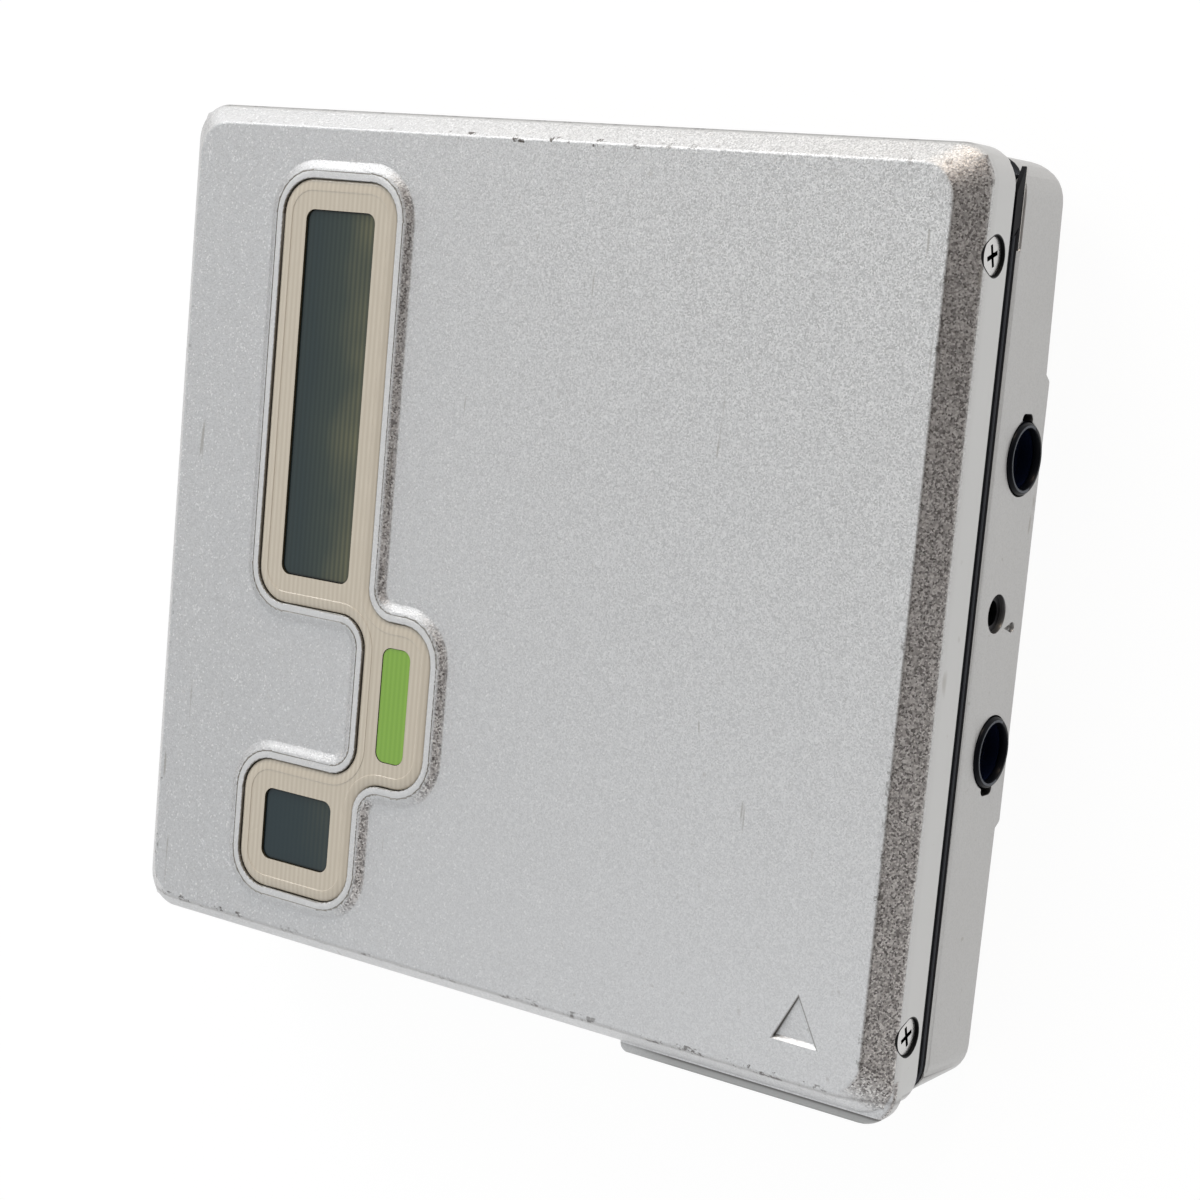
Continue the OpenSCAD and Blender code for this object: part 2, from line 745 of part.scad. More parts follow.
// Deck with brackets for the pickup's rods, its studs and dampers
damper_t = 0.9;
damper_r = 2.1;
turret_half = [3.2, 3.4];
turret_gap = 0.6;
rod_rise = 1.9;
rod_z = z_hump + rod_rise;
rod_in = 5.6;
rod_out = spindle_y - deck_y0 - rod_in;
rod_off = [rod_out, -rod_out];
bracket_t = 1.3;
bracket_gap = [0.1, 0.6];
bracket_x = [bracket_gap[0] - deck_x0, -motor_flange_r - bracket_gap[1] - bracket_t];
bracket_z = rod_z - 1;
bracket_half = 1.2;
arm_y = [3.2, 1.6, 1];
foot_h = 1.9;
sled_play = [0.3, 1.1];
sled_lens = 4.6;
sled_travel = (bracket_x[1] - bracket_x[0] - bracket_t - sled_l - sled_play[0] - sled_play[1]) / 2;
lens_x = bracket_x[0] + bracket_t + sled_play[0] + sled_travel + sled_lens;

// Gear train: rack, drive gear and motor pinion
rack_off = 10.2;
gear_off = 8.5;
gear_y0 = spindle_y + rack_off;
pinion_r = gear_module * pinion_teeth / 2;
wheel_r = gear_module * wheel_teeth / 2;
motor_r = gear_module * motor_teeth / 2;
gear_c = [lens_x + gear_off, gear_y0 + pinion_r];
gear_post_r = 0.6;
rack_rise = 1.25;
rack_t = 0.8;
rack_z = [rod_z + rack_rise, rod_z + rack_rise + rack_t];
wheel_gap = [0.1, 0.35];
wheel_z = [rack_z[1] + wheel_gap[0], z_deck - wheel_gap[1]];
mesh_angle = 60;
motor_c = gear_c + (wheel_r + motor_r) * [cos(mesh_angle), sin(mesh_angle)];
spindle_hole_r = 2.4;
deck_r = 1.5;

module deck() {
    slot_half = turret_half + [turret_gap, turret_gap];
    y1 = spindle_y + rod_off[0];
    y2 = spindle_y + rod_off[1];
    z1 = z_deck + seat_gap;
    color("darkgray") difference() {
        union() {
            slab(rounded([-deck_x0, deck_y0], [deck_x1, deck_y1], deck_r), z_deck, z_deck_top);
            for (x = bracket_x) {
                span([x, y1 - arm_y[0], bracket_z], [x + bracket_t, y1 - arm_y[1], z1]);
                span([x, y1 - arm_y[0], bracket_z], [x + bracket_t, y1 + arm_y[2], bracket_z + foot_h]);
                span([x, y2 - bracket_half, bracket_z], [x + bracket_t, y2 + bracket_half, z1]);
            }
            pin_z(gear_c.x, gear_c.y, gear_post_r, rack_z[0] - gear_post_r / 2, z1);
        }
        for (y = [y1, y2]) pin_x(y, rod_z, rod_r, bracket_x[0] - through, bracket_x[1] + bracket_t + through);
        pin_z(0, spindle_y, spindle_hole_r, z_deck - through, z_deck_top + through);
        span([lens_x - sled_travel - slot_half.x, spindle_y - slot_half.y, z_deck - 2 * seat_gap],
            [lens_x + sled_travel + slot_half.x, spindle_y + slot_half.y, z_deck_top + through]);
        for (p = stud_places) pin_z(p.x, p.y, stud_r, z_deck - through, z_deck_top + through);
    }
}

stud_neck_r = stud_r - 0.2;

module deck_studs() {
    color("goldenrod") for (p = stud_places) difference() {
        union() {
            pin_z(p.x, p.y, stud_r, floor_z(p.y + stud_r), z_deck - damper_t);
            pin_z(p.x, p.y, stud_neck_r, z_deck - damper_t - seat_gap, z_deck_top);
        }
        pin_z(p.x, p.y, bore_r, back_z(p.y), z_deck_top + through);
    }
}

module dampers() {
    color("black") for (p = stud_places) difference() {
        pin_z(p.x, p.y, damper_r, z_deck - damper_t, z_deck);
        pin_z(p.x, p.y, stud_neck_r, z_deck - 2 * damper_t, z_deck + through);
    }
}

deck_head_t = 0.3;
deck_head_r = head_r + 0.3;
deck_screw_l = 2;

module deck_screws() {
    color("lightgray") for (p = stud_places) {
        pin_z(p.x, p.y, deck_head_r, z_deck_top, z_deck_top + deck_head_t);
        pin_z(p.x, p.y, bore_r, z_deck_top - deck_screw_l, z_deck_top + seat_gap);
    }
}

back_screw_l = 2.4;
back_cross_d = 0.25;
back_sink = 0.1;

module back_screws() {
    color("lightgray") for (p = stud_places) translate([p.x, p.y, back_z(p.y) + back_sink]) difference() {
        union() {
            cylinder(r = head_r, h = counterbore - back_sink);
            cylinder(r = bore_r, h = back_screw_l);
        }
        cross(back_cross_d);
    }
}

// Spindle motor and turntable
motor_body_r = 7.4;
motor_flange_t = 0.5;
shaft_r = 1;
table_gap = 0.15;
turntable_z = [z_deck_top + table_gap, z_floor - seat_gap];
hub_r = 1.8;
hub_h = 0.55;
motor_lift = 0.3;
shaft_z = [1, 1.2];

module spindle_motor() {
    color("gray") difference() {
        union() {
            pin_z(0, spindle_y, motor_body_r, z_hump + motor_lift, z_deck - motor_flange_t);
            pin_z(0, spindle_y, motor_flange_r, z_deck - motor_flange_t - seat_gap, z_deck);
        }
        pin_z(0, spindle_y, shaft_r + running_gap, z_hump + shaft_z[0], z_deck + through);
    }
}

module turntable() {
    color("lightgray") union() {
        pin_z(0, spindle_y, shaft_r, z_hump + shaft_z[1], turntable_z[1]);
        pin_z(0, spindle_y, turntable_r, turntable_z[0], turntable_z[1]);
        pin_z(0, spindle_y, hub_r, turntable_z[0], turntable_z[1] + hub_h);
    }
}

// Pickup: a sled on two rods with a rack along its side
sled_x = [lens_x - sled_lens, lens_x - sled_lens + sled_l];
sled_ends = [-6.7, 6.3];
sled_y = [spindle_y + sled_ends[0], spindle_y + sled_ends[1]];
sled_gap = 0.8;
sled_z = [bracket_z, z_deck - sled_gap];
bridge_z = rod_z + 1.1;
ear = [1.25, 1];
rack_ends = [-1, 18];
rack_x = [lens_x + rack_ends[0], lens_x + rack_ends[1]];
tooth = gear_module * PI;
addendum = 0.85 * gear_module;
dedendum = 1.2 * gear_module;
tooth_root = 0.28;
tooth_tip = 0.11;
rack_root = gear_y0 - dedendum;
rack_tip = gear_y0 + addendum;
rack_web = 0.8;
lens_bore = 1.7;
lens_gap = 0.3;
lens_depth = 1;

function rack_tooth(x) = [
    [x - tooth_root * tooth, rack_root], [x - tooth_tip * tooth, rack_tip],
    [x + tooth_tip * tooth, rack_tip], [x + tooth_root * tooth, rack_root]];

rack_count = floor((rack_x[1] - gear_c.x) / tooth);
rack_back = floor((gear_c.x - rack_x[0]) / tooth);

module pickup() {
    y1 = spindle_y + rod_off[0];
    y2 = spindle_y + rod_off[1];
    color("dimgray") difference() {
        union() {
            span([sled_x[0], sled_y[0], sled_z[0]], [sled_x[1], sled_y[1], sled_z[1]]);
            for (y = [y1, y2]) span([sled_x[0], y - ear[0], bracket_z], [sled_x[1], y + ear[1], bridge_z]);
            span([sled_x[0], y2, bracket_z], [sled_x[1], y1, bridge_z]);
            span([lens_x, spindle_y, sled_z[1]] - [turret_half.x, turret_half.y, seat_gap],
                [lens_x + turret_half.x, spindle_y + turret_half.y, z_deck_top - 2 * seat_gap]);
            span([rack_x[0], sled_y[1] - seat_gap, rack_z[0]],
                [sled_x[1], rack_root - rack_web / 2, rack_z[1]]);
            slab(concat([[rack_x[0], rack_root - rack_web], [rack_x[0], rack_root]],
                [for (i = [-rack_back : rack_count - 1]) each rack_tooth(gear_c.x + (i + 0.5) * tooth)],
                [[rack_x[1], rack_root], [rack_x[1], rack_root - rack_web]]), rack_z[0], rack_z[1]);
        }
        for (y = [y1, y2]) pin_x(y, rod_z, rod_r + running_gap, sled_x[0] - through, sled_x[1] + through);
        pin_z(lens_x, spindle_y, lens_bore + lens_gap, sled_z[1] - lens_depth, z_deck_top + through);
    }
}

// Lens: a barrel with a small dome, free to move in focus
focus_travel = 0.3;
dome_h = 0.25;
dome_r = [0.8, 0.5] * lens_bore;
lens_z = [sled_z[1] - lens_depth + 2 * focus_travel, z_deck_top + 2 * seat_gap];

module objective_lens() {
    color("lightblue") union() {
        pin_z(lens_x, spindle_y, lens_bore, lens_z[0], lens_z[1]);
        translate([lens_x, spindle_y, lens_z[1]]) cylinder(r1 = dome_r[0], r2 = dome_r[1], h = dome_h);
    }
}

module guide_rods() {
    color("silver") for (y = rod_off)
        pin_x(spindle_y + y, rod_z, rod_r, bracket_x[0], bracket_x[1] + bracket_t);
}

// Gear outline with a tooth on the X axis
function gear_outline(teeth) =
    let (pitch_r = gear_module * teeth / 2, step = 360 / teeth)
    let (tip = pitch_r + addendum, root = pitch_r - dedendum)
    let (flank = [[-tooth_root, root], [-tooth_tip, tip], [tooth_tip, tip], [tooth_root, root]])
    [for (i = [0 : teeth - 1], p = flank)
        let (a = (i + p[0]) * step) p[1] * [cos(a), sin(a)]];

module drive_gear() {
    color("white") translate(gear_c) difference() {
        union() {
            rotate(-90) slab(gear_outline(pinion_teeth), rack_z[0], wheel_z[0] + seat_gap);
            rotate(mesh_angle) slab(gear_outline(wheel_teeth), wheel_z[0], wheel_z[1]);
        }
        pin_z(0, 0, gear_post_r + running_gap, 0, case_t);
    }
}

sled_motor_r = 3;
sled_motor_gap = [0.1, 0.25];
sled_motor_z = [z_low + sled_motor_gap[0], wheel_z[0] - sled_motor_gap[1]];
motor_shaft_r = 0.4;

module sled_motor() {
    color("silver") union() {
        pin_z(motor_c.x, motor_c.y, sled_motor_r, sled_motor_z[0], sled_motor_z[1]);
        pin_z(motor_c.x, motor_c.y, motor_shaft_r, sled_motor_z[0], wheel_z[1]);
    }
}

module motor_pinion() {
    color("white") translate(motor_c) difference() {
        rotate(mesh_angle + 180 + 180 / motor_teeth) slab(gear_outline(motor_teeth), wheel_z[0], wheel_z[1]);
        pin_z(0, 0, motor_shaft_r + running_gap, 0, case_t);
    }
}

// Main board with its chips, placed as shares of the board's width and length
main_gap = [1, 3.3, 0.5, 1];
main_lo = [deck_x1 + main_gap[0], deck_y0 + main_gap[2]];
main_hi = [x_base - main_gap[1], deck_y1 + main_gap[3]];
main_t = 0.6;
main_drop = 0.4;
main_z = z_deck - main_drop;
chip_h = 0.9;
chip_shares = [[0.23, 0.84], [0.69, 0.85], [0.27, 0.5], [0.27, 0.28], [0.23, 0.1]];
chip_sizes = [7, 5, 6, 5, 4.5];

module main_board() {
    color("darkgreen") slab(rounded(main_lo, main_hi, board_r), main_z, main_z + main_t);
}

module board_chips() {
    size = main_hi - main_lo;
    color("black") for (i = [0 : len(chip_sizes) - 1]) {
        half = [chip_sizes[i], chip_sizes[i]] / 2;
        c = main_lo + [chip_shares[i].x * size.x, chip_shares[i].y * size.y];
        translate([0, 0, main_z - chip_h]) linear_extrude(chip_h) translate(c - half) square(2 * half);
    }
}

// Sockets in the right wall
socket_l = 12.8;
socket_half = 3.4;
nose_sink = 0.4;
mouth_r = 2.3;
mouth_depth = 1.1;
socket_wall = 0.5;
socket_lift = 0.2;

module socket(y, bore) {
    x0 = x_base - socket_l;
    difference() {
        union() {
            span([x0, y - socket_half, z_hump + socket_lift], [x_neck, y + socket_half, main_z]);
            pin_x(y, socket_z, socket_r - seat_gap, x_neck - seat_gap, hx - nose_sink);
        }
        pin_x(y, socket_z, mouth_r, hx - nose_sink - mouth_depth, hx);
        pin_x(y, socket_z, bore, x0 + socket_wall, hx);
    }
}

module headphone_socket() {
    color("black") socket(headphone_y, plug_r);
}

module power_socket() {
    color("black") socket(power_y, power_r);
}

power_pin_r = 0.5;
power_pin_l = 7;

module power_pin() {
    x0 = x_base - socket_l + socket_wall;
    color("gold") pin_x(power_y, socket_z, power_pin_r, x0, x0 + power_pin_l);
}

bush_sink = 0.5;
bush_l = 3;
bush_lip = 0.1;

module clip_bush() {
    color("gray") difference() {
        union() {
            pin_x(bush_y, bush_z, bush_r, x_base - bush_l, hx - bush_sink);
            pin_x(bush_y, bush_z, bush_r + bush_lip, x_base - bush_l, x_base);
        }
        pin_x(bush_y, bush_z, thread_r, x_base - bush_l - through, hx);
    }
}

// Battery behind its door in the left wall
battery_z = [z_low, z_deck] + [2, -2] * seat_gap;
battery_r = 1;
contact_l = 1.4;
contact_h = 2.4;
contact_w = 3;
contact_t = 0.6;
contact_places = [0.25, 0.75];
box_mouth = 4;

module battery() {
    color("slategray") along_x(battery_x0, battery_x0 + battery_l)
        polygon(rounded([battery_y0, battery_z[0]], [battery_y0 + battery_w, battery_z[1]], battery_r));
}

module battery_box() {
    x1 = battery_x0 + battery_l + contact_l + seat_gap;
    wall_x = -x_base + box_mouth;
    color("black") union() {
        span([wall_x, box_y[0], z_deck], [x1 + box_t, box_y[1] + box_t, z_deck + box_t]);
        span([wall_x, box_y[1], battery_z[0]], [x1 + box_t, box_y[1] + box_t, z_deck + seat_gap]);
        span([x1, battery_y0, battery_z[0]], [x1 + box_t, box_y[1] + box_t, z_deck + seat_gap]);
        span([coil_x0 - 2 * box_t, box_y[0], control_z - coil_r],
            [coil_x0, coil_y + coil_r, z_deck + seat_gap]);
    }
}

module battery_contacts() {
    x0 = battery_x0 + battery_l;
    x1 = x0 + contact_l;
    mid = (battery_z[0] + battery_z[1]) / 2;
    z0 = mid - contact_h / 2;
    z1 = mid + contact_h / 2;
    leaf = [
        [x1, z0], [x0, mid], [x1, z1],
        [x1, z1 - contact_t], [x0 + contact_t, mid], [x1, z0 + contact_t]];
    color("gold") for (share = contact_places)
        translate([0, battery_y0 + share * battery_w - contact_w / 2, 0]) along_y(0, contact_w) polygon(leaf);
}

module battery_door() {
    y0 = door_y0 + door_gap;
    y1 = door_y1 - door_gap;
    color("gainsboro") difference() {
        union() {
            span([-hx, y0, door_z], [-x_base, y1, door_top - door_gap]);
            pin_y(-door_x, door_z, knuckle_r, y0, y1);
        }
        pin_y(-door_x, door_z, door_pin_r + running_gap, y0 - through, y1 + through);
    }
}

door_pin_end = 0.9;

module door_pin() {
    color("lightgray") pin_y(-door_x, door_z, door_pin_r, door_y0 - door_pin_end, door_y1 + door_pin_end);
}

// Buttons in the left wall, with a collar behind the wall
collar = 0.5;
collar_t = 0.4;
collar_gap = 0.1;

module button(i) {
    y = button_places[i];
    half = [button_l, button_h] / 2;
    wide = half + [collar, collar];
    along_x(-hx - button_out, -x_base + collar_gap + seat_gap)
        polygon(rounded([y, control_z] - half, [y, control_z] + half, half.y - hair));
    along_x(-x_base + collar_gap, -x_base + collar_gap + collar_t)
        polygon(rounded([y, control_z] - wide, [y, control_z] + wide, half.y - hair));
}

module previous_button() {
    color("silver") button(0);
}

module play_button() {
    color("silver") button(1);
}

module next_button() {
    color("silver") button(2);
}

module stop_button() {
    color("silver") button(3);
}

module volume_down_button() {
    color("silver") button(4);
}

module volume_up_button() {
    color("silver") button(5);
}

// Board with a small switch behind each button
switch_gap = 0.4;
switch_t = 0.3;
switch_half = 1;
board_z = [-1.8, 1.6];

module button_board() {
    x1 = -x_base + collar_gap + collar_t + button_travel + switch_gap;
    half = [switch_half, switch_half];
    color("darkgreen") union() {
        span([x1, deck_y0 + button_ends[0] - button_pitch / 2, control_z + board_z[0]],
            [x1 + board_t, deck_y1 - button_ends[1] + button_pitch / 2, control_z + board_z[1]]);
        for (y = button_places) along_x(x1 - switch_t, x1 + seat_gap)
            translate([y, control_z] - half) square(2 * half);
    }
}

// Sliders in the lip edge wall
knob_out = 0.5;
ridge = 0.35;
slide_collar = 0.5;

module slider(x, knob, ridges) {
    c = [x, control_z];
    wide = knob / 2 + [slide_collar, slide_collar];
    along_y(-base_y - knob_out, -y_base + collar_gap + seat_gap)
        polygon(rounded(c - knob / 2, c + knob / 2, knob.y / 2 - hair));
    along_y(-y_base + collar_gap, -y_base + collar_gap + collar_t)
        polygon(rounded(c - wide, c + wide, slide_collar));
    for (i = [0 : ridges - 1])
        translate([x + (i - (ridges - 1) / 2) * 2 * ridge, -base_y - knob_out, control_z])
            translate([-ridge / 2, -ridge / 2, -knob.y / 4]) cube([ridge, ridge, knob.y / 2]);
}

hold_ridges = 3;
open_ridges = 7;

module hold_switch() {
    color("silver") slider(hold_x, hold_knob, hold_ridges);
}

module open_slider() {
    color("silver") slider(open_x, open_knob, open_ridges);
}

// Latch bar behind the opening slider; its nose enters the catch in the lid frame
latch_y = -y_base + collar_gap + collar_t;
latch_t = 0.4;
catch_play = 0.2;
nose_x = x_slot - catch_play;
nose_l = open_travel;
latch_x0 = open_x - 3;
latch_half = 0.9;

module latch_plate() {
    color("gray") union() {
        span([latch_x0, latch_y, control_z - latch_half],
            [nose_x - nose_l, latch_y + latch_t, control_z + latch_half]);
        span([nose_x - nose_l - 2 * latch_t, latch_y, catch_z0 + catch_play],
            [nose_x - nose_l, catch_y + catch_w - catch_play, catch_z0 + catch_h - catch_play]);
        span([nose_x - nose_l - seat_gap, catch_y + catch_play, catch_z0 + catch_play],
            [nose_x, catch_y + catch_w - catch_play, catch_z0 + catch_h - catch_play]);
    }
}

// Return spring of the latch: one unbroken tube wound round a line along X
coil_r = 0.6;
wire_r = 0.12;
coil_turns = 8;
coil_sides = 6;
coil_rings = 8;
coil_y = latch_y + coil_r + wire_r;
coil_l = 5;
coil_x1 = latch_x0;
coil_x0 = coil_x1 - coil_l - 2 * wire_r;
coil_count = coil_turns * coil_rings;

function coil_point(i) =
    let (a = 360 * i / coil_rings)
    [coil_x1 - wire_r - coil_l * (1 - i / coil_count), coil_y + coil_r * cos(a), control_z + coil_r * sin(a)];

function coil_ring(i) =
    let (a = 360 * i / coil_rings, out = [0, cos(a), sin(a)])
    [for (k = [0 : coil_sides - 1]) let (b = 360 * k / coil_sides)
        coil_point(i) + wire_r * (cos(b) * out + sin(b) * [1, 0, 0])];

coil_gap = coil_l / coil_turns - 2 * wire_r;
echo(least_gap_between_spring_turns = coil_gap);

module latch_spring() {
    n = coil_sides;
    points = [for (i = [0 : coil_count]) each coil_ring(i)];
    sides = [for (i = [0 : coil_count - 1], k = [0 : n - 1])
        let (a = i * n + k, b = i * n + (k + 1) % n)
        each [[a, b, b + n], [a, b + n, a + n]]];
    ends = [[for (k = [0 : n - 1]) n - 1 - k], [for (k = [0 : n - 1]) coil_count * n + k]];
    color("silver") polyhedron(points, concat(sides, ends));
}

lid_shell();
lid_screws();
window_bezel();
long_display();
small_display();
accent_bar();
display_board();
lid_frame();
hinge_pins();
base_shell();
hinge_cheeks();
seam_strips();
deck();
deck_studs();
dampers();
deck_screws();
back_screws();
spindle_motor();
turntable();
pickup();
objective_lens();
guide_rods();
drive_gear();
sled_motor();
motor_pinion();
main_board();
board_chips();
headphone_socket();
power_socket();
power_pin();
clip_bush();
battery();
battery_box();
battery_contacts();
battery_door();
door_pin();
previous_button();
play_button();
next_button();
stop_button();
volume_down_button();
volume_up_button();
button_board();
hold_switch();
open_slider();
latch_plate();
latch_spring();
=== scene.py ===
import bmesh
import bpy
import math
from mathutils import Matrix, Vector


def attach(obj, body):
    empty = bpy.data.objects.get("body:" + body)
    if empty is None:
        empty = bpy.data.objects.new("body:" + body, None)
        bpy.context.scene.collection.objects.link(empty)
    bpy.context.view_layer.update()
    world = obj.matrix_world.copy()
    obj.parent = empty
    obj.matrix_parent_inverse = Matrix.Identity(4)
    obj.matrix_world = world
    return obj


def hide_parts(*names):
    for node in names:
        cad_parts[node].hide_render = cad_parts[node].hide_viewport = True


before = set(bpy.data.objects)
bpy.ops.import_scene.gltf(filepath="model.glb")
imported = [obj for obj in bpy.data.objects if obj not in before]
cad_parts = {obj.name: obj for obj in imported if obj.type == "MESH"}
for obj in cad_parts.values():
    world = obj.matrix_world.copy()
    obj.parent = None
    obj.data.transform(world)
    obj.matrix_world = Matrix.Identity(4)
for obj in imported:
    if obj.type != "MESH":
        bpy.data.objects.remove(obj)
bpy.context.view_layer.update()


# Camera: it stands to the right of the lid and above it, and looks across the face
# towards the window, with the hinge edge at the top of the picture.
def add_object(name, data):
    made = bpy.data.objects.new(name, data)
    bpy.context.scene.collection.objects.link(made)
    return made


eye = (0.1153, 0.0253, 0.1740)
view_back = Vector((0.550, 0.136, 0.824)).normalized()
view_up = Vector((-0.150, 0.987, -0.063))
view_up = (view_up - view_up.dot(view_back) * view_back).normalized()
view_right = view_up.cross(view_back)
camera_data = bpy.data.cameras.new("camera")
camera_data.lens = 72.49
camera_data.sensor_width = 36
camera_data.clip_start = 0.005
camera = add_object("camera", camera_data)
camera.matrix_world = Matrix.Translation(eye) @ Matrix(
    (view_right, view_up, view_back)).transposed().to_4x4()
bpy.context.scene.camera = camera
bpy.context.scene.view_settings.view_transform = "Standard"


# Studio: a white table that runs on behind the player, a pale room with one dark side, and two
# soft lamps beyond the hinge edge, the smaller one warm. None of it belongs to the player.
def put(tree, end, value):
    if isinstance(value, bpy.types.NodeSocket):
        tree.links.new(value, end)
    elif end.type == "RGBA":
        end.default_value = (*value, 1)
    else:
        end.default_value = value


def node(tree, kind, inputs=None, **settings):
    made = tree.nodes.new(kind)
    for name, value in settings.items():
        setattr(made, name, value)
    for name, value in (inputs or {}).items():
        put(tree, made.inputs[name], value)
    return made


def calc(tree, kind, a, b=0):
    return node(tree, "ShaderNodeMath", {0: a, 1: b}, operation=kind).outputs[0]


def ramp(tree, source, stops, smooth="LINEAR"):
    made = node(tree, "ShaderNodeValToRGB", {"Fac": source})
    made.color_ramp.interpolation = smooth
    points = made.color_ramp.elements
    while len(points) < len(stops):
        points.new(0.5)
    for point, (place, colour) in zip(points, stops):
        point.position = place
        point.color = (*colour, 1)
    return made.outputs["Color"]


room = bpy.data.worlds.new("room")
bpy.context.scene.world = room
room.use_nodes = True
tree = room.node_tree
tree.nodes.clear()
dark_side = Vector((0.80, 0.02, 0.60)).normalized()
towards = node(tree, "ShaderNodeVectorMath", {
    0: node(tree, "ShaderNodeTexCoord").outputs["Generated"], 1: dark_side}, operation="DOT_PRODUCT")
walls = ramp(tree, towards.outputs["Value"], [
    (0.0, (0.80, 0.81, 0.82)), (0.55, (0.78, 0.79, 0.80)),
    (0.80, (0.30, 0.28, 0.27)), (0.93, (0.17, 0.155, 0.145))], "EASE")
light = node(tree, "ShaderNodeBackground", {"Color": walls, "Strength": 1.0})
node(tree, "ShaderNodeOutputWorld", {"Surface": light.outputs["Background"]})

bpy.ops.mesh.primitive_plane_add(size=40, location=(0, 0, -0.0002))
table = bpy.context.object
table.name = "table"
white = bpy.data.materials.new("table_white")
white.use_nodes = True
tree = white.node_tree
tree.nodes.clear()
rays = node(tree, "ShaderNodeLightPath").outputs
seen = calc(tree, "MAXIMUM", rays["Is Camera Ray"], rays["Is Glossy Ray"])
seen = calc(tree, "MAXIMUM", seen, rays["Is Transmission Ray"])
matt = node(tree, "ShaderNodeBsdfDiffuse", {"Color": (0.95, 0.95, 0.95)})
glow = node(tree, "ShaderNodeEmission", {"Color": (1, 1, 1), "Strength": 1.04})
both = node(tree, "ShaderNodeMixShader", {
    0: calc(tree, "MULTIPLY", seen, 0.9), 1: matt.outputs[0], 2: glow.outputs[0]})
node(tree, "ShaderNodeOutputMaterial", {"Surface": both.outputs[0]})
table.data.materials.append(white)


def lamp(name, place, size, energy, colour=(1, 1, 1)):
    data = bpy.data.lights.new(name, "AREA")
    data.size, data.energy, data.color = size, energy, colour
    made = add_object(name, data)
    made.location = place
    made.rotation_euler = (-made.location).to_track_quat("-Z", "Y").to_euler()


lamp("soft_lamp", (-0.45, 0.62, 0.30), 0.45, 2.2)
lamp("warm_lamp", (0.16, 0.80, 0.25), 0.16, 1.5, (1.0, 0.80, 0.62))

# Lid skin: a pressed metal lid with a wide bevel round its face, a raised rim round the window,
# a lifting lip at the front and a sunk arrow. Four screws in its side walls hold it to the lid
# frame. It is worked in millimetres and brought to size at the end.
MM = 0.001
lid_x, lid_y = 39.0, 36.6
face_z, bevel_z, rim_z = 15.7, 13.65, 10.15
bevel_in, corner_r = (2.25, 1.7), 3.0
skin, wall_rise, roof_rise = 1.0, 3.1, 1.65
roof_x, roof_y = 36.25, 34.4
face_soft, shoulder_soft, foot_soft, edge_band = 0.18, 0.6, 0.18, 0.8
lip_bottom, lip_out, lip_x, lip_back, lip_r, lip_drop = 12.5, 0.8, 14.0, -33.4, 0.72, 0.22
opening_x, opening_y = 37.95, -33.6
ring_out, ring_low, ring_high, hole_out = 1.95, 15.2, 15.66, 0.1
arrow_x, arrow_half, arrow_foot, arrow_tip = 31.0, 2.75, -33.42, -28.2
screw_y, screw_z = (28.6, -30.1), 12.4
head_r, cone_r, neck_r = 1.52, 1.5, 0.76


def mode(name):
    bpy.ops.object.mode_set(mode=name)


def alone(piece):
    bpy.ops.object.select_all(action="DESELECT")
    bpy.context.view_layer.objects.active = piece
    piece.select_set(True)


def block(name, lo, hi):
    middle = [(a + b) / 2 for a, b in zip(lo, hi)]
    bpy.ops.mesh.primitive_cube_add(size=1, location=middle, scale=[b - a for a, b in zip(lo, hi)])
    piece = bpy.context.object
    piece.name = name
    bpy.ops.object.transform_apply()
    return piece


def pick(piece, kind, test):
    bpy.ops.mesh.select_mode(type=kind)
    bpy.ops.mesh.select_all(action="DESELECT")
    form = bmesh.from_edit_mesh(piece.data)
    for part in {"EDGE": form.edges, "FACE": form.faces}[kind]:
        if test(part):
            part.select_set(True)
    form.select_flush_mode()
    bmesh.update_edit_mesh(piece.data)


def upright(edge):
    a, b = (v.co for v in edge.verts)
    return abs(a.x - b.x) < 1e-4 and abs(a.y - b.y) < 1e-4


def level(z, outside=None):
    def test(edge):
        flat = all(abs(v.co.z - z) < 1e-3 for v in edge.verts)
        return flat and (outside is None or all(outside(v.co) for v in edge.verts))
    return test


def facing(x, y, z):
    return lambda face: face.normal.dot(Vector((x, y, z))) > 0.9


def pull(x, y, z):
    bpy.ops.mesh.extrude_region_move(TRANSFORM_OT_translate={"value": (x, y, z)})


def widen(x, y):
    bpy.ops.transform.resize(value=(x, y, 1), center_override=(0, 0, 0))


def round_edges(piece, test, radius, segments):
    pick(piece, "EDGE", test)
    bpy.ops.mesh.bevel(offset=radius, segments=segments, profile=0.5)


def step_in(steps):
    for step, rise in steps:
        bpy.ops.mesh.inset(thickness=step, depth=rise)


def outward():
    bpy.ops.mesh.select_all(action="SELECT")
    bpy.ops.mesh.normals_make_consistent(inside=False)


def carve(piece, tool, how="DIFFERENCE"):
    alone(piece)
    change = piece.modifiers.new("carve", "BOOLEAN")
    change.operation = how
    change.solver = "EXACT"
    change.object = tool
    bpy.ops.object.modifier_apply(modifier=change.name)
    bpy.data.objects.remove(tool)


def plate(name, points, z0, z1):
    bpy.ops.mesh.primitive_circle_add(vertices=len(points), radius=1, fill_type="NGON")
    piece = bpy.context.object
    piece.name = name
    for vertex, (x, y) in zip(piece.data.vertices, points):
        vertex.co = (x, y, z0)
    mode("EDIT")
    bpy.ops.mesh.select_all(action="SELECT")
    pull(0, 0, z1 - z0)
    outward()
    mode("OBJECT")
    return piece


def soften(piece, steps):
    alone(piece)
    mode("EDIT")
    top = max(v.co.z for v in piece.data.vertices)
    up = facing(0, 0, 1)
    pick(piece, "FACE", lambda face: up(face) and face.calc_center_median().z > top - 1e-3)
    step_in(steps)
    mode("OBJECT")


